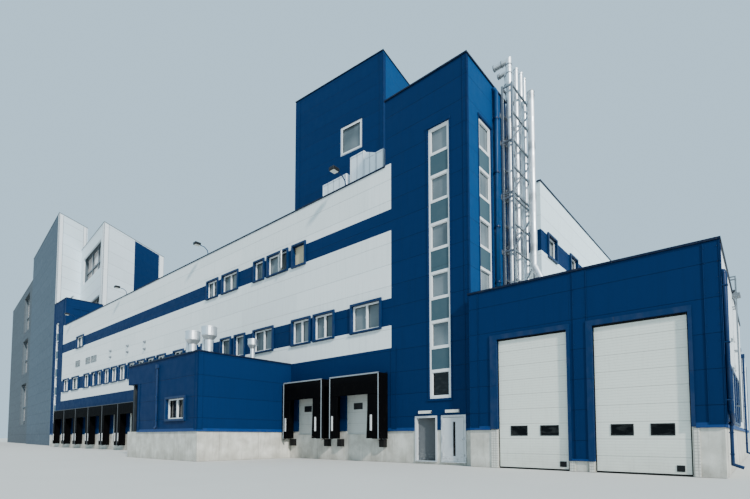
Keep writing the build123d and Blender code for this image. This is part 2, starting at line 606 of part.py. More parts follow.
annex_coping = block(ANNEX_LEFT - COPING_OUT, ANNEX_RIGHT + COPING_OUT, ANNEX_FRONT - COPING_OUT,
                     ANNEX_FRONT + coping_in, annex_top, ANNEX_TOP)
annex_coping += block(ANNEX_RIGHT - coping_in, ANNEX_RIGHT + COPING_OUT, ANNEX_FRONT, ANNEX_DEPTH + COPING_OUT,
                      annex_top, ANNEX_TOP)
annex_coping += block(HALL_RIGHT + FIT, ANNEX_RIGHT, ANNEX_DEPTH - coping_in, ANNEX_DEPTH + COPING_OUT, annex_top,
                      ANNEX_TOP)
add("annex_coping", annex_coping)
annex_y = ANNEX_FRONT + PLINTH_BACK
annex_base = block(ANNEX_LEFT, ANNEX_RIGHT - back, annex_y, annex_y + PLINTH_THICK, 0, PLINTH_TOP)
annex_base -= block(pier_left - 1, pier_right + 1, -CUT, CUT, PIER_FOOT, CUT)
annex_base += block(ANNEX_RIGHT - thick, ANNEX_RIGHT - back, annex_y, HALL_DEPTH, 0, PLINTH_TOP)
annex_base += block(ANNEX_LEFT, ANNEX_LEFT + PLINTH_THICK, annex_y, mast_bay, 0, PLINTH_TOP)
annex_base += block(HALL_RIGHT + FIT, ANNEX_RIGHT - back, HALL_DEPTH - PLINTH_THICK, HALL_DEPTH, 0, PLINTH_TOP)
add("annex_base", cut(annex_base, door_holes))
add("annex_floor", block(HALL_RIGHT + FIT, ANNEX_RIGHT - thick - FIT, annex_y + PLINTH_THICK + FIT,
                         HALL_DEPTH - PLINTH_THICK - FIT, 0, YARD_FLOOR))
rear_annex = block(HALL_RIGHT + FIT, ANNEX_RIGHT, ANNEX_DEPTH + FIT, HALL_DEPTH, PLINTH_TOP, REAR_ANNEX_TOP)
rear_annex -= block(HALL_RIGHT - 1, ANNEX_RIGHT - WALL, ANNEX_DEPTH, HALL_DEPTH - WALL, 0, REAR_ANNEX_TOP - ROOF_THICK)
add("rear_annex", rear_annex)

# Sectional doors with their four lights, and their blue trims
door_y = ANNEX_FRONT + DOOR_SETBACK
sectional = []
for (x, w), lights in zip(doors, DOOR_WINDOWS):
    door = block(x + FIT, x + w - FIT, door_y, door_y + DOOR_THICK, 0, DOOR_HIGH - FIT)
    for offset, width in lights:
        door -= block(x + offset, x + offset + width, -CUT, CUT, DOOR_WINDOW_SILL, DOOR_WINDOW_HEAD)
        panes.append(block(x + offset - FIT, x + offset + width + FIT, door_y + DOOR_THICK, door_y + DOOR_THICK + GLASS,
                           DOOR_WINDOW_SILL - FIT, DOOR_WINDOW_HEAD + FIT))
    sectional.append(door)
add("sectional_doors", sectional)
for (x, w), (left, right), inner_left in zip(doors, DOOR_TRIM_WIDE, (True, False)):
    z_left = PLINTH_TOP if inner_left else PIER_FOOT
    z_right = PIER_FOOT if inner_left else PLINTH_TOP
    trim = block(x - left, x + w + right, ANNEX_FRONT - DOOR_TRIM_OUT, ANNEX_FRONT, DOOR_HIGH, DOOR_HIGH + DOOR_TRIM_HIGH)
    trim += block(x - left, x, ANNEX_FRONT - DOOR_TRIM_OUT, ANNEX_FRONT, z_left, DOOR_HIGH)
    trim += block(x + w, x + w + right, ANNEX_FRONT - DOOR_TRIM_OUT, ANNEX_FRONT, z_right, DOOR_HIGH)
    surrounds.append(trim)

# Front annex on its own base
office_top = OFFICE_TOP - OFFICE_COPING
porch_x = OFFICE_LEFT + PORCH_WIDE
porch_y = OFFICE_FRONT + PORCH_DEEP
office = block(OFFICE_LEFT, OFFICE_RIGHT, OFFICE_FRONT, -FIT, PLINTH_TOP, office_top)
office -= block(OFFICE_LEFT + WALL, OFFICE_RIGHT - WALL, OFFICE_FRONT + WALL, 1, 0, OFFICE_TOP)
office -= block(OFFICE_LEFT - 1, porch_x, OFFICE_FRONT - 1, porch_y, 0, PORCH_HEAD)
office += block(porch_x, porch_x + WALL, OFFICE_FRONT, porch_y + WALL, PLINTH_TOP, PORCH_HEAD)
office += block(OFFICE_LEFT, porch_x + WALL, porch_y, porch_y + WALL, PLINTH_TOP, PORCH_HEAD)
office += block(OFFICE_LEFT, porch_x + WALL, OFFICE_FRONT, porch_y + WALL, PORCH_HEAD, PORCH_HEAD + PORCH_CEILING)
window_x, window_w, window_z0, window_z1 = OFFICE_WINDOW
window_centre = OFFICE_LEFT + window_x + window_w / 2
office -= block(window_centre - window_w / 2, window_centre + window_w / 2, OFFICE_FRONT - 1, OFFICE_FRONT + WALL,
                window_z0, window_z1)
add("front_annex_walls", office)
add("front_annex_roof", block(OFFICE_LEFT + WALL + FIT, OFFICE_RIGHT - WALL - FIT, OFFICE_FRONT + WALL + FIT, -FIT,
                              OFFICE_ROOF - ROOF_THICK, OFFICE_ROOF))
office_coping = block(OFFICE_LEFT - COPING_OUT, OFFICE_RIGHT + COPING_OUT, OFFICE_FRONT - COPING_OUT, -FIT - COPING_OUT,
                      office_top, OFFICE_TOP)
office_coping -= block(OFFICE_LEFT + coping_in, OFFICE_RIGHT - coping_in, OFFICE_FRONT + coping_in, 1, 0, HALL_TOP)
add("front_annex_coping", office_coping)
office_base = block(OFFICE_LEFT, OFFICE_RIGHT - back, OFFICE_FRONT + back, back - FIT, 0, PLINTH_TOP)
add("front_annex_base", office_base - block(OFFICE_LEFT + BASE_WALL, OFFICE_RIGHT - BASE_WALL, OFFICE_FRONT + BASE_WALL, 1,
                                            -1, OFFICE_FLOOR))
POST_WIDE = 0.20
post_x = OFFICE_LEFT + 0.55
add("porch_post", block(post_x, post_x + POST_WIDE, OFFICE_FRONT + 0.10, OFFICE_FRONT + 0.10 + POST_WIDE, PLINTH_TOP,
                        PORCH_HEAD))
windows.append(place(frame(window_w, window_z1 - window_z0, 1, 0.07), window_centre, OFFICE_FRONT + FRAME_BACK, window_z0))
panes.append(block(window_centre - window_w / 2, window_centre + window_w / 2, OFFICE_FRONT + WALL,
                   OFFICE_FRONT + WALL + GLASS, window_z0, window_z1))
surrounds.append(place(surround(0, window_w, window_z0, window_z1), window_centre, OFFICE_FRONT, 0))

# Ventilators on the roof of the front annex: a curb, a pipe, a cone and a drum open to the sky
vents = []
for x, y, pipe_r, drum_r, z0, z1 in VENTS:
    wall_r = drum_r - pipe_r * 0.35
    curb = pipe_r * VENT_CURB_SHARE
    body = block(x - curb, x + curb, y - curb, y + curb, OFFICE_ROOF, OFFICE_ROOF + VENT_CURB)
    body += drum(x, y, OFFICE_ROOF, z0, pipe_r)
    body += drum(x, y, z0 - VENT_CONE, z0, pipe_r, drum_r)
    body += drum(x, y, z0, z1, drum_r) - drum(x, y, z0 + VENT_FLOOR, z1 + 1, wall_r)
    vents.append(body)
vents += [drum(x - SIDE_PIPE_OFF, y, OFFICE_ROOF, z1 - SIDE_PIPE_LOW, SIDE_PIPE) for x, y, pipe_r, drum_r, z0, z1 in VENTS[:2]]
add("roof_ventilators", vents)


# Personnel doors: steel frames, one leaf ajar and one closed
def door_frame(x0, x1):
    """A steel frame round a door opening, from the step to the head."""
    outer = block(x0 + FIT, x1 - FIT, 0.0, WALL, DOOR_FOOT, DOOR_HEAD - FIT)
    return outer - block(x0 + DOOR_FRAME, x1 - DOOR_FRAME, -CUT, CUT, 0, DOOR_HEAD - DOOR_FRAME)


leaf_foot = DOOR_FOOT + LEAF_GAP
leaf_head = DOOR_HEAD - DOOR_FRAME - LEAF_GAP


def leaf(x0, x1, y0, hinge_y):
    """A door leaf with the half of each hinge that moves with it."""
    hinge_x = x0 + DOOR_FRAME
    result = block(hinge_x + HINGE_GAP, x1 - DOOR_FRAME - LEAF_GAP, y0, y0 + LEAF_THICK, leaf_foot, leaf_head)
    for z in HINGE_HEIGHTS:
        result += drum(hinge_x, hinge_y, z, z + KNUCKLE_HIGH, KNUCKLE, sides=SMALL_SIDES)
        result += block(hinge_x, hinge_x + 3 * KNUCKLE, min(hinge_y, y0), max(hinge_y, y0 + LEAF_THICK), z, z + KNUCKLE_HIGH)
    return result


def lever(x, y, out):
    """A door lever on its rose: out is -1 for the outside and 1 for the inside."""
    rose = pipe([(x, y, LEVER_HEIGHT), (x, y + out * LEVER_REACH, LEVER_HEIGHT)], LEVER_ROSE, SMALL_SIDES)
    grip_y = sorted((y + out * (LEVER_REACH - LEVER_THICK), y + out * LEVER_REACH))
    return rose + block(x - LEVER_LONG, x + LEVER_THICK, *grip_y, LEVER_HEIGHT - LEVER_THICK / 2,
                        LEVER_HEIGHT + LEVER_THICK / 2)


def frame_knuckles(x0, hinge_y):
    """The half of each hinge that stays on the frame."""
    hinge_x = x0 + DOOR_FRAME
    result = []
    for z in HINGE_HEIGHTS:
        for low in (z - KNUCKLE_HIGH - FIT, z + KNUCKLE_HIGH + FIT):
            result.append(drum(hinge_x, hinge_y, low, low + KNUCKLE_HIGH, KNUCKLE, sides=SMALL_SIDES))
    return result


def hinge_notches(x0, hinge_y):
    """Room in the frame for the half of each hinge that moves."""
    reach = 2 * KNUCKLE
    return [block(x0 + DOOR_FRAME - reach, x0 + DOOR_FRAME + CUT, hinge_y - reach, hinge_y + reach, z - FIT,
                  z + KNUCKLE_HIGH + FIT) for z in HINGE_HEIGHTS]


leaf_a_y = WALL - LEAF_SET - LEAF_THICK
leaf_b_y = LEAF_SET
hinge_a_y = WALL + KNUCKLE * 0.6
hinge_b_y = -KNUCKLE * 0.6
frame_a = door_frame(*DOOR_A)
frame_b = door_frame(*DOOR_B)
for knuckle in frame_knuckles(DOOR_A[0], hinge_a_y):
    frame_a += knuckle
for knuckle in frame_knuckles(DOOR_B[0], hinge_b_y):
    frame_b += knuckle
frame_a = cut(frame_a, hinge_notches(DOOR_A[0], hinge_a_y))
frame_b = cut(frame_b, hinge_notches(DOOR_B[0], hinge_b_y))
add("door_frames", [frame_a, frame_b])
leaf_a = leaf(*DOOR_A, leaf_a_y, hinge_a_y) + lever(DOOR_A[1] - DOOR_FRAME - 0.10, leaf_a_y, -1)
pivot_a = Axis((mm(DOOR_A[0] + DOOR_FRAME), mm(hinge_a_y), 0), (0, 0, 1))
add("left_door_leaf", leaf_a.rotate(pivot_a, AJAR))
slot_x = DOOR_B[1] - DOOR_FRAME - 0.55
leaf_b = leaf(*DOOR_B, leaf_b_y, hinge_b_y) + lever(DOOR_B[1] - DOOR_FRAME - 0.10, leaf_b_y, -1)
slot_pane_y = leaf_b_y + LEAF_THICK / 2
leaf_b -= block(slot_x, slot_x + SLOT_WIDE, leaf_b_y - 1, slot_pane_y, *SLOT)
add("right_door_leaf", leaf_b)
lamp_y = (-0.12, -FIT)
add("door_lamps", [block(sum(pair) / 2 - LAMP_WIDE / 2, sum(pair) / 2 + LAMP_WIDE / 2, *lamp_y, DOOR_HEAD + 0.11,
                         DOOR_HEAD + 0.24) for pair in (DOOR_A, DOOR_B)])


# Dock shelters: a frame with a deep head and side curtains, open at the front and the back
def shelter(x0, x1, foot):
    """A dock shelter between two side positions."""
    outer = block(x0, x1, -SHELTER_DEEP, -FIT, foot, SHELTER_TOP)
    opening = block(x0 + CURTAIN, x1 - CURTAIN, -CUT, 1, foot - 1, SHELTER_TOP - CURTAIN_HEAD)
    room = block(x0 + SHELTER_FRAME, x1 - SHELTER_FRAME, -SHELTER_DEEP + CURTAIN_THICK, 1, foot - 1,
                 SHELTER_TOP - SHELTER_FRAME)
    return outer - opening - room


add("right_dock_shelters", [shelter(x0, x1, SHELTER_FOOT) for x0, x1 in right_shelters])
SHELTER_APART = 0.04
add("left_dock_shelters", [shelter(x0 + SHELTER_APART / 2, x1 - SHELTER_APART / 2, LEFT_DOCK_FOOT)
                           for x0, x1 in left_shelters])
add("dock_doors", [block(c - DOCK_DOOR_WIDE / 2 + FIT, c + DOCK_DOOR_WIDE / 2 - FIT, DOCK_DOOR_BACK,
                         DOCK_DOOR_BACK + DOOR_THICK, DOCK_FLOOR + FIT, DOCK_FLOOR + DOCK_DOOR_HIGH - FIT)
                   for c in dock_centres])
add("dock_bumpers", [block(c + s * BUMPER_APART / 2 - BUMPER_WIDE / 2, c + s * BUMPER_APART / 2 + BUMPER_WIDE / 2,
                           -BUMPER_OUT, back - FIT, *BUMPER) for c in right_dock_centres for s in (-1, 1)])

# Roof tower
turn = math.radians(ROOF_TOWER_TURN)
lean = math.radians(ROOF_TOWER_LEAN)
front_way = (-math.cos(turn), -math.sin(turn))
side_way = (-math.sin(lean), math.cos(lean))
tower_plan = parallelogram(ROOF_TOWER_CORNER, front_way, side_way, ROOF_TOWER_WIDE, ROOF_TOWER_DEEP)
tower_walls = ring(tower_plan, WALL, HALL_ROOF, ROOF_TOWER_TOP - COPING_HIGH)
tw_start, tw_wide, tw_z0, tw_z1 = ROOF_TOWER_WINDOW
add("roof_tower_walls", tower_walls - wall_slot(ROOF_TOWER_CORNER, front_way, tw_start, tw_start + tw_wide, tw_z0, tw_z1))
tower_window = frame(tw_wide, tw_z1 - tw_z0, 0, 0.13, 0.10)
tw_middle = step(ROOF_TOWER_CORNER, front_way, tw_start + tw_wide / 2)
tw_inner = step(tw_middle, (-front_way[1], front_way[0]), -FRAME_BACK)
windows.append(place(tower_window, *tw_inner, tw_z0, ROOF_TOWER_TURN))
tw_glass = step(tw_middle, (-front_way[1], front_way[0]), -FRAME_BACK - 0.10)
panes.append(place(block(-tw_wide / 2 + FIT, tw_wide / 2 - FIT, 0, GLASS, FIT, tw_z1 - tw_z0 - FIT), *tw_glass, tw_z0,
                   ROOF_TOWER_TURN))
add("roof_tower_roof", prism(inset(tower_plan, WALL + FIT), ROOF_TOWER_TOP - ROOF_LOW - ROOF_THICK, ROOF_TOWER_TOP - ROOF_LOW))
add("roof_tower_coping", ring(inset(tower_plan, -COPING_OUT), WALL + 2 * COPING_OUT, ROOF_TOWER_TOP - COPING_HIGH,
                              ROOF_TOWER_TOP))

# Air units on the hall roof, on steel legs, and floodlights on the front parapet
units = []
for x0, x1, foot, top_left, top_right in UNITS:
    unit = profile([(x0, foot), (x1, foot), (x1, top_right), (x0, top_left)], UNIT_FRONT, UNIT_FRONT + UNIT_DEEP)
    for lx in (x0, x1 - UNIT_LEG):
        for ly in (UNIT_FRONT, UNIT_FRONT + UNIT_DEEP - UNIT_LEG):
            unit += block(lx, lx + UNIT_LEG, ly, ly + UNIT_LEG, HALL_ROOF, foot)
    units.append(unit)
add("roof_air_units", units)
lights = []
for x in LIGHTS:
    arm = pipe([(x, 0.10, HALL_TOP + 0.02), (x, 0.02, HALL_TOP + 0.35), (x, -0.22, HALL_TOP + 0.54),
                (x, -LIGHT_REACH, HALL_TOP + 0.58)], LIGHT_PIPE, SMALL_SIDES)
    arm += block(x - 0.06, x + 0.06, 0.04, 0.16, HALL_TOP, HALL_TOP + 0.03)
    arm += block(x - 0.17, x + 0.17, -LIGHT_REACH - 0.42, -LIGHT_REACH, HALL_TOP + 0.50, HALL_TOP + 0.66)
    lights.append(arm)
add("roof_floodlights", lights)

# Grey tower block; the right tower ends against the light face of the tall one
grey_one = parallelogram(GREY_CORNER, DARK_WAY, LIGHT_WAY, GREY_LONG, GREY_DEEP)
across = DARK_WAY[0] * LIGHT_WAY[1] - DARK_WAY[1] * LIGHT_WAY[0]
apart = (GREY_CORNER[0] - GREY_TWO_CORNER[0], GREY_CORNER[1] - GREY_TWO_CORNER[1])
grey_two_long = (apart[0] * LIGHT_WAY[1] - apart[1] * LIGHT_WAY[0]) / across - FIT / abs(across)
grey_two = parallelogram(GREY_TWO_CORNER, DARK_WAY, LIGHT_WAY, grey_two_long, GREY_TWO_DEEP)
grey_three_corner = step(step(GREY_CORNER, DARK_WAY, GREY_LONG + (COPING_OUT + FIT) / abs(across)), LIGHT_WAY,
                         GREY_THREE_BACK)
grey_three = parallelogram(grey_three_corner, DARK_WAY, LIGHT_WAY, GREY_THREE_LONG, GREY_THREE_DEEP)
big_holes = [wall_slot(GREY_TWO_CORNER, DARK_WAY, *HALL_OF_GLASS, z0, z1) for z0, z1 in BIG_WINDOWS]
strip_holes = [wall_slot(grey_three_corner, DARK_WAY, *GLAZED_STRIP, z0, z1) for z0, z1 in GLAZED_FLOORS]
grey_roofs = []
grey_copings = []
for label, plan, top, holes in (("grey_tower_tall", grey_one, GREY_TOP, []),
                                ("grey_tower_right", grey_two, GREY_TWO_TOP, big_holes),
                                ("grey_tower_left", grey_three, GREY_THREE_TOP, strip_holes)):
    add(label + "_walls", cut(ring(plan, WALL, 0, top - COPING_HIGH), holes))
    grey_roofs.append(prism(inset(plan, WALL + FIT), top - ROOF_LOW - ROOF_THICK, top - ROOF_LOW))
    cap = ring(inset(plan, -COPING_OUT), WALL + 2 * COPING_OUT, top - COPING_HIGH, top)
    if plan is grey_two:
        cap -= prism(inset(grey_one, -FIT), top - 1, top + 1)
    grey_copings.append(cap)
add("grey_tower_roofs", grey_roofs)
add("grey_tower_copings", grey_copings)

# Deep glazing of the grey towers: frames set back behind the openings, with side cheeks
inward = (-DARK_WAY[1], DARK_WAY[0])
dark_turn = math.degrees(math.atan2(-DARK_WAY[1], -DARK_WAY[0]))
glazing = []
for corner, (start, end), floors, bars in ((GREY_TWO_CORNER, HALL_OF_GLASS, BIG_WINDOWS, 2),
                                           (grey_three_corner, GLAZED_STRIP, GLAZED_FLOORS, 1)):
    middle = step(step(corner, DARK_WAY, (start + end) / 2), inward, -WALL)
    for z0, z1 in floors:
        width, height = end - start, z1 - z0
        box = block(-width / 2 - GREY_FRAME, width / 2 + GREY_FRAME, 0, GREY_FRAME_BACK, -GREY_FRAME, height + GREY_FRAME)
        box -= block(-width / 2, width / 2, -CUT, CUT, 0, height)
        box += place(frame(width + GREY_FRAME, height + GREY_FRAME, bars, GREY_FRAME, GREY_FRAME_DEEP,
                           [height * TRANSOM_SHARE]), 0, GREY_FRAME_BACK - GREY_FRAME_DEEP, -GREY_FRAME / 2)
        glazing.append(place(box, *middle, z0, dark_turn))
        panes.append(place(block(-width / 2, width / 2, GREY_FRAME_BACK, GREY_FRAME_BACK + GLASS, 0, height), *middle, z0,
                           dark_turn))
add("grey_tower_glazing", glazing)
add("hall_windows", windows)
add("window_surrounds", surrounds)
add("window_glass", panes)

# Flue mast: a lattice tower of square bars fused where they cross, tied to the stair tower
half = MAST_POST / 2
rail = MAST_RAIL / 2
foot_z = ANNEX_ROOF + FIT
lattice = block(MAST_LEFT - half, MAST_LEFT + half, MAST_FRONT - half, MAST_FRONT + half, foot_z, MAST_TOP)
for px, py in ((MAST_RIGHT, MAST_FRONT), (MAST_LEFT, MAST_BACK), (MAST_RIGHT, MAST_BACK)):
    lattice += block(px - half, px + half, py - half, py + half, foot_z, MAST_TOP)
for z in MAST_LEVELS:
    for py in (MAST_FRONT, MAST_BACK):
        lattice += block(MAST_LEFT, MAST_RIGHT, py - rail, py + rail, z - rail, z + rail)
for z in MAST_LEVELS + MAST_MIDS:
    for px in (MAST_LEFT, MAST_RIGHT):
        lattice += block(px - rail, px + rail, MAST_FRONT, MAST_BACK, z - rail, z + rail)
for z in BRACKETS:
    lattice += block(2 * FIT, MAST_LEFT, MAST_FRONT - rail, MAST_FRONT + rail, z - rail, z + rail)
for low, high in ((7.90, 10.75), (10.75, 13.55), (13.80, 16.55), (16.55, 19.50)):
    for px in (MAST_LEFT, MAST_RIGHT):
        lattice += bar((px, MAST_FRONT, low), (px, MAST_BACK, high), MAST_BRACE)
plate = MAST_PLATE / 2
for z in (BRACKETS[0], BRACKETS[1] + 0.12, BRACKETS[3], BRACKETS[4]):
    lattice += block(FIT, 0.02, MAST_FRONT - plate, MAST_FRONT + plate, z - plate, z + plate)
add("flue_mast", lattice)

# Flues: straight ones, two with an elbow over the stair tower, and the big one with a cap
flues = []
for x, y, top, radius in STRAIGHT_FLUES:
    flues.append(tube(x, y, foot_z, top, radius))
for x, y, z, radius, reach in BEND_FLUES:
    flues.append(pipe([(x, y, foot_z), (x, y, z), (x - reach, y, z)], radius))
x, y, top, radius = BIG_FLUE
shift, bend_top, bend_foot = BIG_FLUE_OFFSET
big = pipe([(x + shift, y, foot_z), (x + shift, y, bend_foot), (x, y, bend_top), (x, y, top)], radius)
big += drum(x, y, top, top + FLUE_CAP, radius + FLUE_RIM, radius * FLUE_CAP_SHARE)
flues.append(big)
add("flues", flues)


# Rain pipes
def rain_pipe(top, foot, shoe, hopper=True):
    """A rain pipe on a wall along X, with a shoe that turns out at the foot."""
    body = pipe([(0, 0, top), (0, 0, foot + 2 * PIPE), (0, -shoe, foot)], PIPE, ROUND_SIDES // 2)
    if hopper:
        return body + block(-HOPPER / 2, HOPPER / 2, -PIPE_OFF, PIPE_OFF - FIT, top - FIT, top + HOPPER)
    return body + block(-PIPE, PIPE, 0, PIPE_OFF - FIT, top - 2 * PIPE, top - PIPE)


add("rain_pipes", [
    place(rain_pipe(OFFICE_TOP - 0.55, 1.78, 0.10), OFFICE_LEFT + 4.25, OFFICE_FRONT - PIPE_OFF, 0),
    place(rain_pipe(PLINTH_TOP + 0.15, 0.28, 0.28, False), ANNEX_RIGHT + PIPE_OFF, 0.62, 0, 90),
    place(rain_pipe(REAR_ANNEX_TOP - 0.45, 0.28, 0.28), ANNEX_RIGHT + PIPE_OFF, ANNEX_DEPTH + 1.20, 0, 90),
])

# Roof ladder: two rails over the parapet with rungs, wall ties and a step plate
ladder_x = ANNEX_RIGHT + LADDER_OFF
landing_x = ladder_x - LADDER_REACH
rails_y = (LADDER_Y - LADDER_WIDE / 2, LADDER_Y + LADDER_WIDE / 2)
ladder = block(landing_x - RUNG, ladder_x + RUNG, *rails_y, ANNEX_TOP + 2 * RUNG, ANNEX_TOP + 3 * RUNG)
for y in rails_y:
    for x, foot in ((ladder_x, LADDER_FOOT), (landing_x, ANNEX_TOP)):
        ladder += block(x - LADDER_RAIL, x + LADDER_RAIL, y - LADDER_RAIL, y + LADDER_RAIL, foot, LADDER_TOP)
    ladder += block(landing_x, ladder_x, y - LADDER_RAIL, y + LADDER_RAIL, LADDER_TOP - 2 * LADDER_RAIL, LADDER_TOP)
    for z in LADDER_TIES:
        ladder += block(ANNEX_RIGHT + FIT, ladder_x, y - RUNG, y + RUNG, z - RUNG, z + RUNG)
z = LADDER_FOOT + RUNG_PITCH / 2
while z < ANNEX_TOP:
    ladder += block(ladder_x - RUNG / 2, ladder_x + RUNG / 2, *rails_y, z - RUNG / 2, z + RUNG / 2)
    z += RUNG_PITCH
add("roof_ladder", ladder)


def write_parts():
    """Write each node to its own STEP file, moved to the origin."""
    os.makedirs("parts", exist_ok=True)
    to_origin = Location((0, -mm(ORIGIN_BACK), 0))
    for name, solids in nodes.items():
        placed = [solid.moved(to_origin) for solid in solids]
        shape = placed[0] if len(placed) == 1 else Compound(children=placed)
        export_step(shape, "parts/" + name + ".step")


write_parts()
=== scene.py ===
"""Factory building at 1:10: finishes, small details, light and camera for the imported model.

Sizes are metres of the real building, with Y from the front cladding, as in the part's source;
Face.point and at() turn them into metres of the model.
"""
import logging
import math
from dataclasses import dataclass, field
from enum import Enum
from typing import Dict, List, Optional, Sequence, Tuple, Union

import bmesh
import bpy
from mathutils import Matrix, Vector


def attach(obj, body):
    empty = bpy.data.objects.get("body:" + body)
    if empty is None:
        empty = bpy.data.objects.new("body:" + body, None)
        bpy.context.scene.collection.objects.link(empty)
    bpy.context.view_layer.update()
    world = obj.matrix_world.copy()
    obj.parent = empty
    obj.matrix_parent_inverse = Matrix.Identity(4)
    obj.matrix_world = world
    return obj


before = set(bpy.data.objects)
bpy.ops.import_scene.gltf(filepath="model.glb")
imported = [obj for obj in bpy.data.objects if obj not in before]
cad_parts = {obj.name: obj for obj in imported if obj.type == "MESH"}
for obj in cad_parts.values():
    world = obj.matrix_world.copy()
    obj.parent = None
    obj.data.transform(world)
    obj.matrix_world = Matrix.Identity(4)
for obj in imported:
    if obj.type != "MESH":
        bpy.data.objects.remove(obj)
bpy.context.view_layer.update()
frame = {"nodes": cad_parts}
LOG = logging.getLogger("factory")

SCALE = 0.1
ORIGIN_BACK = 0.17
BODY = "building"
STAIR_WIDE = 4.85
STAIR_COPING = 19.11
HALL_LEFT = -57.65
HALL_TOP = 15.60
PLINTH_TOP = 1.60
DRIP_TOP = 1.66
OFFICE_FRONT = -6.15
OFFICE_LEFT = -19.80
OFFICE_RIGHT = -12.45
ANNEX_FRONT = -0.43
ANNEX_RIGHT = 9.05
ANNEX_COPING = 7.49
# Widths of softened edges, usual and of larger pieces, and the fully dark share of a drawn line
SOFT = 0.006
ROUND = 0.008
LINE_CORE = 0.3

Pair = Tuple[float, float]
Point = Tuple[float, float, float]
Four = Tuple[float, float, float, float]
Five = Tuple[float, float, float, float, float]
Socket = bpy.types.NodeSocket
Given = Union[Socket, Tuple[float, ...], float, str, None]


def at(x: float, y: float, z: float) -> Vector:
    """Turn a place in real metres, with Y from the front cladding, into one in the model."""
    return Vector((x, y - ORIGIN_BACK, z)) * SCALE


def linear(code: str) -> Four:
    """Turn an sRGB hex colour into linear values.

    Args:
        code: The colour, such as "#0d3f78".

    Returns:
        Linear red, green, blue and an alpha of one.
    """
    values = [int(code[i:i + 2], 16) / 255 for i in (1, 3, 5)]
    red, green, blue = [v / 12.92 if v <= 0.04045 else ((v + 0.055) / 1.055) ** 2.4 for v in values]
    return (red, green, blue, 1.0)


def feed(node: bpy.types.Node, given: dict) -> None:
    """Give inputs of a node what they get; None leaves an input as it is.

    Args:
        node: The node.
        given: Sockets to link, plain values or hex colours, by input name or number.
    """
    for key, value in given.items():
        if isinstance(value, Socket):
            node.id_data.links.new(value, node.inputs[key])
        elif value is not None:
            node.inputs[key].default_value = linear(value) if isinstance(value, str) else value


def add_node(tree: bpy.types.NodeTree, kind: str, given: Optional[dict] = None,
             **settings: object) -> bpy.types.Node:
    """Add a node with its settings, its values and its links.

    Args:
        tree: The node tree.
        kind: The node's type.
        given: Sockets or values of its inputs, by name or number.
        settings: Properties of the node.

    Returns:
        The new node.
    """
    node = tree.nodes.new(kind)
    for key, value in settings.items():
        setattr(node, key, value)
    feed(node, given or {})
    return node


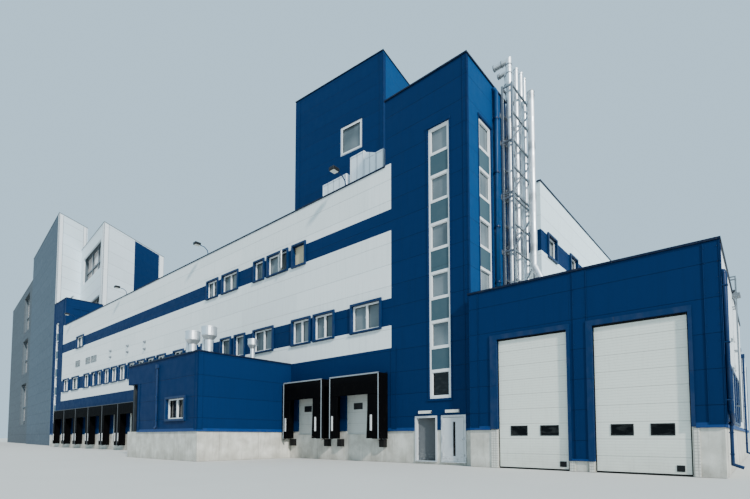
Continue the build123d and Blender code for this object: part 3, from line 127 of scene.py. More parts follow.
class Sketch:
    """The start of every finish: a shader, a place in real metres and a place along the wall."""

    def __init__(self, name: str, roughness: float, metallic: float = 0.0, specular: float = 0.5) -> None:
        """Open a material.

        Args:
            name: The material's name.
            roughness: Typical roughness of the surface.
            metallic: One for bare metal, otherwise nought.
            specular: Strength of its gloss, half for most surfaces.
        """
        self.material = bpy.data.materials.new(name)
        self.material.use_nodes = True
        self.tree = self.material.node_tree
        self.shader = self.tree.nodes["Principled BSDF"]
        feed(self.shader, {"Roughness": roughness, "Metallic": metallic, "Specular IOR Level": specular})
        raw = add_node(self.tree, "ShaderNodeTexCoord").outputs["Object"]
        self.place = self.vector("SCALE", raw, scale=1 / SCALE)
        self.normal = add_node(self.tree, "ShaderNodeNewGeometry").outputs["True Normal"]
        level = self.vector("CROSS_PRODUCT", (0, 0, 1), self.normal)
        self.along = self.vector("DOT_PRODUCT", self.place, level, output="Value")
        self.x, self.y, self.z = add_node(self.tree, "ShaderNodeSeparateXYZ", {0: self.place}).outputs
        self.wall = add_node(self.tree, "ShaderNodeCombineXYZ", {0: self.along, 1: self.z}).outputs[0]

    def vector(self, operation: str, first: Given, second: Given = None, scale: Optional[float] = None,
               output: str = "Vector") -> Socket:
        """Vector maths on sockets or plain values; gives the result's socket."""
        given = {0: first, 1: second, "Scale": scale}
        return add_node(self.tree, "ShaderNodeVectorMath", given, operation=operation).outputs[output]

    def math(self, operation: str, first: Given, second: Given = None, clamp: bool = False) -> Socket:
        """Number maths on sockets or plain values; gives the result's socket."""
        settings = {"operation": operation, "use_clamp": clamp}
        return add_node(self.tree, "ShaderNodeMath", {0: first, 1: second}, **settings).outputs[0]

    def times(self, first: Given, second: Given) -> Socket:
        """The product of two sockets or plain values."""
        return self.math("MULTIPLY", first, second)

    def minus(self, first: Given, second: Given) -> Socket:
        """The difference of two sockets or plain values."""
        return self.math("SUBTRACT", first, second)

    def between(self, value: Socket, low: float, high: float) -> Socket:
        """One where a socket lies between two values, and nought elsewhere."""
        return self.times(self.math("GREATER_THAN", value, low), self.math("LESS_THAN", value, high))

    def spread(self, value: Socket, low: float, high: float, to_low: float = 0.0,
               to_high: float = 1.0) -> Socket:
        """Map a socket from one range to another, held at the ends; gives the result's socket."""
        given = {0: value, 1: low, 2: high, 3: to_low, 4: to_high}
        return add_node(self.tree, "ShaderNodeMapRange", given, clamp=True).outputs[0]

    def noise(self, size: Point, detail: float = 3.0, base: Optional[Socket] = None) -> Socket:
        """Noise whose blotches have the given sizes in real metres; gives its socket."""
        given = {"Vector": self.vector("MULTIPLY", base or self.place, tuple(1 / s for s in size)),
                 "Scale": 1.0, "Detail": detail, "Roughness": 0.55}
        return add_node(self.tree, "ShaderNodeTexNoise", given).outputs["Fac"]

    def patches(self, size: Point, detail: float, low: float, high: float, most: float = 1.0,
                base: Optional[Socket] = None) -> Socket:
        """Soft patches: nought where the noise is under low, the most where it is over high."""
        return self.spread(self.noise(size, detail, base), low, high, 0.0, most)

    def line(self, value: Socket, pitch: float, width: float, offset: float = 0.0) -> Socket:
        """A thin line at every pitch: one on the line and nought beside it."""
        wave = self.math("PINGPONG", self.minus(value, offset), pitch / 2)
        return self.spread(wave, width * LINE_CORE, width, 1.0, 0.0)

    def mix(self, factor: Given, first: Given, second: Given, blend: str = "MIX") -> Socket:
        """Mix two colours, given as sockets or hex codes; gives the result's socket."""
        given = {0: factor, 6: first, 7: second}
        return add_node(self.tree, "ShaderNodeMix", given, data_type="RGBA", blend_type=blend).outputs[2]

    def bump(self, height: Socket, depth: float) -> None:
        """Raise the surface by a height socket times a depth in real metres."""
        given = {"Height": height, "Strength": 1.0, "Distance": depth * SCALE}
        feed(self.shader, {"Normal": add_node(self.tree, "ShaderNodeBump", given).outputs[0]})

    def paint(self, colour: Given, roughness: Given = None) -> bpy.types.Material:
        """Give the shader its colour and, where given, its roughness; gives the material."""
        feed(self.shader, {"Base Color": colour, "Roughness": roughness})
        return self.material


@dataclass(frozen=True)
class Finish:
    """A finish with a name; its material is made once."""

    name: str

    def sketch(self) -> bpy.types.Material:
        """Build the material; each kind of finish has its own."""
        raise NotImplementedError

    def material(self) -> bpy.types.Material:
        """The material, built at its first use."""
        return bpy.data.materials.get(self.name) or self.sketch()


class BandSide(Enum):
    """The walls that coloured bands, or a painted highlight of a sunlit side, run on: an axis of the outward
    direction and its limits.
    """

    ALL = (2, -2.0, 2.0)
    STREET = (1, -2.0, -0.5)
    YARD = (0, 0.5, 2.0)


@dataclass(frozen=True)
class CoatedPanel(Finish):
    """Sandwich panel of coil-coated steel: satin paint, shadow joints, rain streaks under them."""

    colour: str
    band: str = ""
    bands: Tuple[Pair, ...] = ()
    span: Pair = (-999.0, 999.0)
    side: BandSide = BandSide.ALL
    module: float = 1.134
    pitch: float = 6.0
    streaks: float = 0.10
    soil: float = 0.0
    shadow: float = 0.22
    width: float = 0.020
    soil_high: float = 2.2

    def painted(self, s: Sketch) -> Given:
        """The paint with its bands; on the blue tower walls the band on the yard side is a painted highlight.

        Args:
            s: The sketch of this finish.

        Returns:
            A hex colour, or a socket where there are bands.
        """
        if not self.bands:
            return self.colour
        inside = s.between(s.z, *self.bands[0])
        for low, high in self.bands[1:]:
            inside = s.math("ADD", inside, s.between(s.z, low, high))
        axis, low, high = self.side.value
        facing = add_node(s.tree, "ShaderNodeSeparateXYZ", {0: s.normal}).outputs[axis]
        inside = s.times(s.times(inside, s.between(s.x, *self.span)), s.between(facing, low, high))
        return s.mix(inside, self.colour, self.band)

    def sketch(self) -> bpy.types.Material:
        """Painted bands, then joints, panel tones, streaks and soiling near the foot."""
        s = Sketch(self.name, 0.48, specular=0.10)
        upright = s.line(s.along, self.pitch, 0.014, self.pitch * 0.37)
        joint = s.math("MAXIMUM", s.line(s.z, self.module, self.width), s.times(upright, 0.35))
        column = s.math("FLOOR", s.math("DIVIDE", s.along, self.pitch))
        course = s.math("FLOOR", s.math("DIVIDE", s.z, self.module))
        cell = add_node(s.tree, "ShaderNodeCombineXYZ", {0: column, 1: course}).outputs[0]
        tone = add_node(s.tree, "ShaderNodeTexWhiteNoise", {0: cell}).outputs["Value"]
        streak = s.patches((0.10, 2.5, 1.0), 4.0, 0.48, 0.80, self.streaks, s.wall)
        low = s.spread(s.z, PLINTH_TOP, PLINTH_TOP + self.soil_high, self.soil, 0.0)
        foot = s.times(low, s.noise((0.6, 0.5, 1.0), 4.0, s.wall))
        light = s.minus(s.spread(tone, 0.0, 1.0, 0.955, 1.03), s.math("ADD", streak, foot))
        light = s.minus(light, s.times(joint, self.shadow))
        grey = add_node(s.tree, "ShaderNodeCombineColor", {0: light, 1: light, 2: light}).outputs[0]
        s.bump(s.minus(s.times(s.noise((0.9, 0.35, 1.0), 1.0, s.wall), 0.10), joint), 0.012)
        colour = s.mix(1.0, self.painted(s), grey, "MULTIPLY")
        return s.paint(colour, s.spread(s.noise((0.5, 0.5, 0.5)), 0.3, 0.7, 0.54, 0.68))


@dataclass(frozen=True)
class FoldedSheet(Finish):
    """Flashings of folded, coated steel: smooth satin paint with lap joints and a little dust."""

    colour: str
    lap: float = 3.0
    roughness: float = 0.38
    dust: float = 0.05

    def sketch(self) -> bpy.types.Material:
        """Satin paint, laps at the sheet lengths, dust that gathers in blotches."""
        s = Sketch(self.name, self.roughness, specular=0.2)
        dust = s.patches((0.35, 0.35, 0.5), 4.0, 0.45, 0.75, self.dust)
        joint = s.math("MAXIMUM", s.line(s.along, self.lap, 0.012), s.line(s.z, self.lap, 0.012, 0.4))
        colour = s.mix(s.times(joint, 0.45), s.mix(dust, self.colour, "#8c8f8c"), "#050709")
        s.bump(s.minus(s.times(s.noise((0.5, 0.5, 0.5), 1.0), 0.2), joint), 0.006)
        return s.paint(colour, s.spread(dust, 0.0, self.dust, self.roughness, self.roughness + 0.2))


@dataclass(frozen=True)
class CastConcrete(Finish):
    """Base walls cast in place: grey-beige, cloudy, with board joints, runs of damp and pores."""

    colour: str = "#d8d6cc"
    dark: str = "#b4b1a6"
    pitch: float = 2.5

    def sketch(self) -> bpy.types.Material:
        """Clouds, damp runs from the top, a damp foot, form joints and open pores."""
        s = Sketch(self.name, 0.85)
        colour = s.mix(s.patches((0.7, 0.7, 0.7), 6.0, 0.35, 0.68), self.dark, self.colour)
        colour = s.mix(s.patches((0.16, 1.6, 1.0), 5.0, 0.52, 0.74, 0.45, s.wall), colour, "#8a867b")
        colour = s.mix(s.patches((0.5, 0.9, 0.8), 5.0, 0.60, 0.78, 0.5), colour, "#e4e2d9")
        foot = s.times(s.spread(s.z, 0.0, 0.45, 0.6, 0.0), s.noise((0.5, 0.5, 0.5), 4.0))
        colour = s.mix(foot, colour, "#6a655b")
        grain = s.noise((0.03, 0.03, 0.03), 4.0)
        cells = add_node(s.tree, "ShaderNodeTexVoronoi", {"Vector": s.place, "Scale": 9.0})
        pore = s.spread(cells.outputs["Distance"], 0.05, 0.10, 1.0, 0.0)
        hole = s.math("MAXIMUM", s.line(s.along, self.pitch, 0.02), pore)
        s.bump(s.minus(s.times(grain, 0.4), hole), 0.012)
        return s.paint(s.mix(s.times(hole, 0.4), colour, "#5d584f"), s.spread(grain, 0.3, 0.7, 0.78, 0.92))


@dataclass(frozen=True)
class RoofMembrane(Finish):
    """Welded bitumen sheet with slate chips: matt grey, seams a metre apart, water marks."""

    colour: str = "#7a7b78"
    sheet: float = 1.0

    def sketch(self) -> bpy.types.Material:
        """Chips, seams across the roof and dried puddles."""
        s = Sketch(self.name, 0.9)
        chips = s.noise((0.02, 0.02, 0.02), 2.0)
        puddle = s.patches((2.5, 2.0, 2.0), 3.0, 0.55, 0.62, 0.5)
        colour = s.mix(puddle, s.mix(chips, "#5f605e", self.colour), "#8e8a80")
        seam = s.line(s.x, self.sheet, 0.03)
        s.bump(s.math("ADD", s.times(chips, 0.3), seam), 0.006)
        return s.paint(s.mix(s.times(seam, 0.5), colour, "#3b3c3b"))


@dataclass(frozen=True)
class Vinyl(Finish):
    """Window frames of extruded white PVC: smooth, a little glossy, with grey patches of grime."""

    colour: str = "#e9ecec"

    def sketch(self) -> bpy.types.Material:
        """White plastic with faint extrusion lines and grime."""
        s = Sketch(self.name, 0.28)
        grime = s.patches((0.12, 0.12, 0.3), 4.0, 0.5, 0.8, 0.22)
        s.bump(s.noise((0.004, 0.004, 0.3), 1.0), 0.001)
        return s.paint(s.mix(grime, self.colour, "#a9a79e"))


@dataclass(frozen=True)
class Glazing(Finish):
    """Double glazing with a neutral coating: mirrors the light, lets a little of the room through; its pale
    colour is a painted reflection of the sky.
    """

    colour: str
    deep: str
    through: float = 0.30
    bright: str = ""
    gloss: float = 0.22
    room: str = ""
    beyond: float = 1.5
    room_top: float = 4.6

    def sketch(self) -> bpy.types.Material:
        """A smooth pane whose tone, a painted reflection, differs from window to window, with faint ripples
        and dust; painted reflection on the far towers and painted shade on the low panes.
        """
        s = Sketch(self.name, 0.04, specular=self.gloss)
        feed(s.shader, {"Transmission Weight": self.through, "IOR": 1.52})
        colour = s.mix(s.patches((2.1, 1.9, 2.6), 1.0, 0.35, 0.65), self.deep, self.colour)
        # Painted reflection: the panes beyond the hall's left end, in the grey towers, are paler.
        if self.bright:
            far = s.times(s.math("LESS_THAN", s.x, HALL_LEFT), s.math("GREATER_THAN", s.y, self.beyond))
            colour = s.mix(far, colour, self.bright)
        # Painted shade: the panes under room_top are near black.
        if self.room:
            colour = s.mix(s.math("LESS_THAN", s.z, self.room_top), colour, self.room)
        dust = s.patches((0.4, 0.4, 0.15), 5.0, 0.5, 0.85, 0.12)
        s.bump(s.noise((0.7, 0.7, 0.7), 1.0), 0.004)
        return s.paint(s.mix(dust, colour, "#a8aca8"), s.spread(dust, 0, 0.12, 0.03, 0.16))


@dataclass(frozen=True)
class PowderCoat(Finish):
    """Steel door leaves and frames in powder coat: fine orange peel, scuffs near the foot."""

    colour: str = "#c9cdcf"

    def sketch(self) -> bpy.types.Material:
        """Even satin coat with orange peel and shoe marks."""
        s = Sketch(self.name, 0.40)
        marks = s.patches((0.15, 0.15, 0.08), 5.0, 0.5, 0.7)
        scuff = s.times(s.spread(s.z, 0.15, 0.8, 0.8, 0.0), marks)
        cloud = s.patches((0.5, 0.5, 0.5), 3.0, 0.4, 0.7, 0.10)
        s.bump(s.noise((0.01, 0.01, 0.01), 2.0), 0.0015)
        return s.paint(s.mix(s.math("ADD", scuff, cloud, True), self.colour, "#8b8c8a"))


@dataclass(frozen=True)
class RibbedDoor(Finish):
    """Insulated door panels of coated steel: cream white, fine ribs along them, stucco grain."""

    colour: str = "#e6e9de"
    rib: float = 0.10
    panel: float = 0.60
    foot: float = 0.0

    def sketch(self) -> bpy.types.Material:
        """Ribs every ten centimetres, a fine embossed grain, dirt on the lowest panels."""
        s = Sketch(self.name, 0.46)
        rib = s.line(s.z, self.rib, 0.012)
        panel = s.line(s.z, self.panel, 0.016, self.foot)
        dirt = s.times(s.spread(s.z, 0.0, 1.3, 0.5, 0.0), s.noise((0.5, 0.2, 0.5), 5.0))
        streak = s.patches((0.07, 0.9, 1.0), 4.0, 0.52, 0.8, 0.14, s.wall)
        colour = s.mix(s.math("ADD", dirt, streak, True), self.colour, "#8a867a")
        colour = s.mix(s.times(rib, 0.12), colour, "#6f6f68")
        colour = s.mix(s.times(panel, 0.24), colour, "#55554f")
        groove = s.math("ADD", s.times(rib, 0.5), panel)
        s.bump(s.minus(s.times(s.noise((0.008, 0.008, 0.008), 1.0), 0.15), groove), 0.006)
        return s.paint(colour)


@dataclass(frozen=True)
class ShelterFlap(Finish):
    """Stiff flaps of reinforced black rubber: semi-matt, a little wavy, dusty where they are rubbed."""

    colour: str = "#020203"
    ply: float = 0.03

    def sketch(self) -> bpy.types.Material:
        """The ply pressed through the rubber, waves, and grey rub marks."""
        s = Sketch(self.name, 0.55, specular=0.06)
        weave = s.math("ADD", s.line(s.along, self.ply, 0.008), s.line(s.z, self.ply, 0.008))
        rub = s.patches((0.2, 0.2, 0.35), 5.0, 0.56, 0.78, 0.12)
        waves = s.times(s.noise((0.45, 0.45, 0.9), 2.0), 2.0)
        s.bump(s.math("ADD", waves, s.times(weave, 0.04)), 0.02)
        return s.paint(s.mix(rub, self.colour, "#2a2826"), s.spread(rub, 0, 0.12, 0.78, 0.95))


@dataclass(frozen=True)
class BareMetal(Finish):
    """Bare metal sheet and bars: dip-galvanised with spangle, or drawn stainless with seams."""

    colour: str
    stain: str
    roughness: float
    spangle: float = 0.05
    seam: float = 0.0
    rib: float = 0.0
    metallic: float = 1.0

    def sketch(self) -> bpy.types.Material:
        """Crystals or drawing marks, dull patches, and seams or ribs where the sheet has them."""
        s = Sketch(self.name, self.roughness, self.metallic)
        cells = add_node(s.tree, "ShaderNodeTexVoronoi", {"Vector": s.place, "Scale": 1 / self.spangle})
        tone = add_node(s.tree, "ShaderNodeSeparateColor", {0: cells.outputs["Color"]}).outputs[0]
        dull = s.patches((0.4, 0.4, 1.2), 4.0, 0.45, 0.70, 0.5)
        colour = s.mix(dull, s.mix(s.times(tone, 0.35), self.colour, self.stain), self.stain)
        height = s.times(s.noise((0.02, 0.02, 0.4), 2.0), 0.10)
        for pitch, across in ((self.seam, s.z), (self.rib, s.along)):
            if pitch:
                mark = s.line(across, pitch, pitch * 0.12)
                height = s.minus(height, mark)
                colour = s.mix(s.times(mark, 0.4), colour, "#4b4c4b")
        s.bump(height, 0.008)
        rough = s.spread(tone, 0, 1, self.roughness - 0.06, self.roughness + 0.10)
        return s.paint(colour, s.math("ADD", rough, s.times(dull, 0.25)))


@dataclass(frozen=True)
class PlainPlastic(Finish):
    """Plain small pieces of plastic, rubber, plaster or block: lamp lenses, seals, buffers, jambs."""

    colour: str
    worn: str
    roughness: float = 0.5
    tile: float = 0.0
    wear: float = 0.6

    def sketch(self) -> bpy.types.Material:
        """A moulded grain with worn patches, and block joints where the piece has them."""
        s = Sketch(self.name, self.roughness, specular=0.3)
        wear = s.patches((0.08, 0.08, 0.12), 4.0, 0.5, 0.75, self.wear)
        colour = s.mix(wear, self.colour, self.worn)
        height = s.times(s.noise((0.01, 0.01, 0.01), 2.0), 0.3)
        if self.tile:
            joint = s.math("MAXIMUM", s.line(s.along, self.tile, 0.012), s.line(s.z, self.tile, 0.012))
            colour = s.mix(s.times(joint, 0.6), colour, "#6c685f")
            height = s.minus(height, joint)
        s.bump(height, 0.004)
        return s.paint(colour, s.spread(wear, 0, self.wear, self.roughness, min(self.roughness + 0.2, 1.0)))


BLUE = "#00264f"
ALL_HEIGHTS = ((-1.0, 99.0),)
WHITE_BANDS = ((5.83, 7.00), (8.42, 12.00), (13.14, 15.60))
FRONT = CoatedPanel("coil_coated_panel_banded", BLUE, "#e9efee", WHITE_BANDS, (-58.40, -4.46),
                    BandSide.STREET, soil=0.12)
SIDE = CoatedPanel("coil_coated_panel_white", "#e4f6fb", BLUE, ((11.60, 12.80),))
PALE_SIDE = CoatedPanel("coil_coated_panel_pale", "#dfe6e9", pitch=3.0)
DARK_BLUE = CoatedPanel("coil_coated_panel_blue", BLUE, pitch=12.0, soil=0.12)
# Painted highlight: the yard side of the blue towers is a lighter blue, standing in for the sun on that side.
TOWER_BLUE = CoatedPanel("coil_coated_panel_tower_blue", BLUE, "#003c6c", ALL_HEIGHTS,
                         side=BandSide.YARD, pitch=12.0, soil=0.12)
# The joints of the grey towers are drawn 7 cm wide, because their real 2 cm are lost at that distance
GREY = CoatedPanel("coil_coated_panel_grey", "#53606b", "#e9f6fc", ALL_HEIGHTS, side=BandSide.YARD,
                   module=1.7, pitch=12.0, streaks=0.05, soil=0.2, shadow=0.20, width=0.07)
DARK_GREY = CoatedPanel("coil_coated_panel_dark_grey", "#525a60", module=1.7, pitch=12.0, streaks=0.05,
                        soil=0.2, shadow=0.20, width=0.07)
LIGHT_GREY = CoatedPanel("coil_coated_panel_light_grey", "#e0ebf0", module=1.7, pitch=12.0, streaks=0.04,
                         soil=0.15, shadow=0.16, width=0.07)
PALE_TRIM = FoldedSheet("folded_steel_pale", "#fbfeff", 6.0, 0.5)
TRIM = FoldedSheet("folded_steel_blue", "#00274f")
DRIP = FoldedSheet("folded_steel_bright_blue", "#00356c", 3.0, 0.45)
# Painted light: a lighter copy of the trim blue, for the pipe's sunlit side.
PIPE_BLUE = FoldedSheet("painted_pipe_blue", "#003d6a", 2.8, 0.40)
# Painted shade: the porch post is near black because it stands in shade.
SHADED_POST = FoldedSheet("painted_shade_post", "#20262b", 9.0, 0.5)
DARK_ALLOY = FoldedSheet("weathered_edge_bar", "#4a4f53", 9.0, 0.5)
# Grey sheet; on the grey towers' folds it serves as painted shadow lines along the pale trims.
GREY_TRIM = FoldedSheet("folded_steel_grey_and_painted_shadow", "#8f989e")
GLAZING_TRIM = FoldedSheet("folded_steel_dark_grey", "#566168")
COPING = FoldedSheet("folded_steel_dark", "#00122e", 3.0, 0.45)
SPANDREL = FoldedSheet("coated_spandrel_sheet", "#3d555e", 9.0, 0.30)
ENAMEL = FoldedSheet("painted_cast_motor", "#1d4f92", 9.0, 0.35)
CONCRETE = CastConcrete("cast_concrete")
MEMBRANE = RoofMembrane("slated_bitumen_sheet")
VINYL = Vinyl("extruded_white_pvc")
# The pale pane colours and bright are painted reflections; room is painted shade on the low panes.
GLASS = Glazing("coated_double_glazing", "#939fa4", "#5c6a70", bright="#d9cfc9", room="#080c0d")
TINTED = Glazing("tinted_door_light", "#07090a", "#040506", 0.0, gloss=0.10)
DOOR_COAT = PowderCoat("powder_coated_steel")
# Painted shade: the left leaf stands open in a dark doorway, so it is dark grey; the real leaf is white like
# the frames.
SHADED_LEAF = PowderCoat("powder_coated_leaf_painted_shade", "#4c5053")
PANEL_DOOR = RibbedDoor("ribbed_door_panel")
DOCK_PANEL = RibbedDoor("ribbed_dock_door_panel", "#c9cbc4", foot=1.42)
FLAP = ShelterFlap("reinforced_rubber_flap")
GALVANISED = BareMetal("dip_galvanised_steel", "#dfe2e3", "#bfc3c4", 0.50)
# Galvanised steel darkened all over as painted shade, so the mast's post by the wall looks shaded; the same
# finish serves the ladder, landing, vents and collars.
MAST_STEEL = BareMetal("galvanised_steel_darkened_as_painted_shade", "#9ba1a6", "#777d83", 0.55)
STAINLESS = BareMetal("drawn_stainless_steel", "#f2f5f7", "#c6ccd0", 0.42, 0.6, seam=2.8)
DUCT_SHEET = BareMetal("ribbed_aluzinc_sheet", "#f6fbff", "#e4edf4", 0.50, rib=0.5, metallic=0.5)
LENS = PlainPlastic("polycarbonate_lens", "#dfe0d8", "#bcbcb0", 0.3)
BLACK_RUBBER = PlainPlastic("moulded_black_rubber", "#070707", "#181716", 0.8)
# Dark plastic; it also gives the painted shade in the mouths of the flues and ventilators.
DARK_PLASTIC_AND_SHADE = PlainPlastic("moulded_dark_plastic_and_painted_shade", "#16181a", "#26282a", 0.35)
WHITE_PLASTIC = PlainPlastic("moulded_white_plastic", "#dfe1e0", "#b7b8b4", 0.45)
PLASTER = PlainPlastic("trowelled_lime_plaster", "#c6bb9d", "#a59a7e", 0.85)
JAMB_BLOCK = PlainPlastic("painted_jamb_block", "#cfcdc4", "#b3b0a6", 0.75, 0.10)

DRESSED: Dict[Finish, str] = {
    FRONT: "hall_front_wall stair_tower_front left_stair_tower",
    SIDE: "hall_right_wall hall_rear_wall hall_left_wall",
    PALE_SIDE: "annex_right_wall rear_annex",
    DARK_BLUE: "annex_front_wall annex_rear_and_left_walls front_annex_walls",
    TOWER_BLUE: "stair_tower_side stair_tower_inner_walls roof_tower_walls",
    GREY: "grey_tower_tall_walls",
    DARK_GREY: "grey_tower_left_walls",
    LIGHT_GREY: "grey_tower_right_walls",
    CONCRETE: "hall_base annex_base front_annex_base dock_floor first_floor second_floor annex_floor",
    MEMBRANE: "hall_roof annex_roof front_annex_roof stair_tower_roofs roof_tower_roof grey_tower_roofs",
    COPING: "hall_coping annex_coping front_annex_coping stair_tower_copings roof_tower_coping",
    GREY_TRIM: "grey_tower_copings",
    GLAZING_TRIM: "grey_tower_glazing",
    TRIM: "window_surrounds rain_pipes roof_floodlights",
    VINYL: "hall_windows stair_windows",
    GLASS: "window_glass",
    DOOR_COAT: "door_frames right_door_leaf",
    SHADED_LEAF: "left_door_leaf",
    PANEL_DOOR: "sectional_doors",
    DOCK_PANEL: "dock_doors",
    FLAP: "right_dock_shelters left_dock_shelters",
    BLACK_RUBBER: "dock_bumpers",
    SHADED_POST: "porch_post",
    MAST_STEEL: "flue_mast roof_ladder",
    STAINLESS: "flues roof_ventilators",
    DUCT_SHEET: "roof_air_units",
    LENS: "door_lamps",
}


@dataclass(frozen=True)
class Face:
    """A wall seen from outside: a corner in plan, the way along it, and the side that is outside."""

    corner: Pair
    way: Pair
    side: int = 1

    def point(self, along: float, out: float, z: float) -> Vector:
        """A place on the wall, along it, out from the cladding and up, in metres of the model."""
        x, y = (c + w * along for c, w in zip(self.corner, self.way))
        return at(x + self.way[1] * self.side * out, y - self.way[0] * self.side * out, z)


def facing_street(y: float, x: float = 0.0) -> Face:
    """A wall that faces the street at a distance behind the front cladding."""
    return Face((x, y), (1.0, 0.0))


def facing_yard(x: float, side: int = 1) -> Face:
    """A wall across the front at a place along it; a side of minus one faces away from the yard."""
    return Face((x, 0.0), (0.0, 1.0), side)


STREET = facing_street(0.0)
ANNEX_STREET = facing_street(ANNEX_FRONT)
OFFICE_STREET = facing_street(OFFICE_FRONT)
TOWER_SIDE = facing_yard(0.0)
ANNEX_YARD = facing_yard(ANNEX_RIGHT)
OFFICE_YARD = facing_yard(OFFICE_RIGHT)
LEFT_TOWER_SIDE = facing_yard(HALL_LEFT)
FAR_SIDE = facing_yard(HALL_LEFT - STAIR_WIDE, -1)
REAR_SIDE = Face((0.0, 24.0), (-1.0, 0.0))
DARK_WAY = (-0.9953, 0.0974)
LIGHT_WAY = (-0.4926, 0.8703)
TALL_CORNER = (HALL_LEFT - 12.05, 1.92)
RIGHT_CORNER = (HALL_LEFT - 0.67, 4.303)
TALL_DARK = Face(TALL_CORNER, DARK_WAY, -1)
TALL_LIGHT = Face(TALL_CORNER, LIGHT_WAY)
RIGHT_DARK = Face(RIGHT_CORNER, DARK_WAY, -1)
RIGHT_LIGHT = Face(RIGHT_CORNER, LIGHT_WAY)
TURN = math.radians(4.7)
LEAN = math.radians(7.5)
ROOF_TOWER = (-12.10, 8.64)
ROOF_STREET = Face(ROOF_TOWER, (-math.cos(TURN), -math.sin(TURN)), -1)
ROOF_YARD = Face(ROOF_TOWER, (-math.sin(LEAN), math.cos(LEAN)))


class Workpiece:
    """A mesh under construction, made of bevelled plates, rods and sheets."""

    def __init__(self) -> None:
        """Start with an empty mesh."""
        self.mesh = bmesh.new()

    def block(self, face: Face, along: Pair, out: Pair, z: Pair, soft: float = SOFT) -> None:
        """Add a block with softened edges.

        Args:
            face: The wall that it is set against.
            along: From and to along the wall.
            out: From and to out of the wall.
            z: From and to in height.
            soft: Width of the softened edges.
        """
        corners = [self.mesh.verts.new(face.point(a, o, h)) for a in along for o in out for h in z]
        quads = ((0, 1, 3, 2), (4, 6, 7, 5), (0, 4, 5, 1), (2, 3, 7, 6), (0, 2, 6, 4), (1, 5, 7, 3))
        faces = [self.mesh.faces.new([corners[i] for i in quad]) for quad in quads]
        bmesh.ops.recalc_face_normals(self.mesh, faces=faces)
        if soft:
            edges = list({edge for f in faces for edge in f.edges})
            bmesh.ops.bevel(self.mesh, geom=edges, offset=soft * SCALE, segments=1, affect="EDGES",
                            clamp_overlap=True)

    def frame(self, face: Face, along: Pair, out: Pair, z: Pair, bar: float, soft: float = SOFT,
              lapped: bool = False) -> None:
        """Add a frame of four bars.

        Args:
            face: The wall that it is set against.
            along: From and to along the wall.
            out: From and to out of the wall.
            z: From and to in height.
            bar: Width of its bars.
            soft: Width of the softened edges.
            lapped: Whether the uprights run over the level bars instead of between them.
        """
        (left, right), (low, top) = along, z
        for level in ((low, low + bar), (top - bar, top)):
            self.block(face, along, out, level, soft)
        upright = z if lapped else (low + bar, top - bar)
        for side in ((left, left + bar), (right - bar, right)):
            self.block(face, side, out, upright, soft)

    def rod(self, points: Sequence[Vector], radius: float, sides: int = 12) -> None:
        """Add a round rod along points of the model, with closed ends.

        Args:
            points: The middle of the rod.
            radius: Its radius in real metres.
            sides: How many sides it has round it.
        """
        rings = []
        for index, point in enumerate(points):
            tangent = points[min(index + 1, len(points) - 1)] - points[max(index - 1, 0)]
            turn = tangent.normalized().to_track_quat("Z", "Y").to_matrix()
            angles = (2 * math.pi * i / sides for i in range(sides))
            ring = [point + turn @ Vector((math.cos(a), math.sin(a), 0)) * radius * SCALE for a in angles]
            rings.append([self.mesh.verts.new(p) for p in ring])
        faces = [self.mesh.faces.new(reversed(rings[0])), self.mesh.faces.new(rings[-1])]
        for low, high in zip(rings[:-1], rings[1:]):
            faces += [self.mesh.faces.new((low[i], low[(i + 1) % sides], high[(i + 1) % sides], high[i]))
                      for i in range(sides)]
        bmesh.ops.recalc_face_normals(self.mesh, faces=faces)

    def disc(self, x: float, y: float, z: Pair, radius: float, sides: int) -> None:
        """Add an upright round plate or ring at a place, between two heights."""
        self.rod([at(x, y, z[0]), at(x, y, z[1])], radius, sides)

    def sheet(self, rows: Sequence[Sequence[Vector]], thickness: float) -> None:
        """Add a curved sheet given as rows of points, with a back a thickness behind it.

        Args:
            rows: Rows of points of the model, all of one length.
            thickness: The sheet's thickness in real metres.
        """
        grid = [[self.mesh.verts.new(p) for p in row] for row in rows]
        faces = [self.mesh.faces.new((a[i], a[i + 1], b[i + 1], b[i]))
                 for a, b in zip(grid[:-1], grid[1:]) for i in range(len(a) - 1)]
        bmesh.ops.recalc_face_normals(self.mesh, faces=faces)
        bmesh.ops.solidify(self.mesh, geom=faces, thickness=thickness * SCALE)

    def done(self, name: str, finish: Finish, slot: str, body: str = BODY, smooth: bool = False) -> None:
        """Turn the mesh into a finished piece that rides on a body.

        Args:
            name: The piece's name.
            finish: Its finish.
            slot: The record's slot that the finish belongs to; not used.
            body: The body that it moves with.
            smooth: Whether its faces are shaded smooth.
        """
        data = bpy.data.meshes.new(name)
        for f in self.mesh.faces:
            f.smooth = smooth
        self.mesh.to_mesh(data)
        self.mesh.free()
        data.materials.append(finish.material())
        settle(name, data, body)


def settle(name: str, data: bpy.types.Mesh, body: str) -> None:
    """Put a mesh into the scene as a piece, on its body.

    Args:
        name: The piece's name.
        data: Its mesh.
        body: The body that it moves with.
    """
    piece = bpy.data.objects.new(name, data)
    bpy.context.scene.collection.objects.link(piece)
    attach(piece, body)
    LOG.info("%s: %d faces", name, len(data.polygons))


class Repeated(Enum):
    """What stands at each place of a row."""

    SCREW = "screw"
    RING = "ring"
    SLAT = "slat"


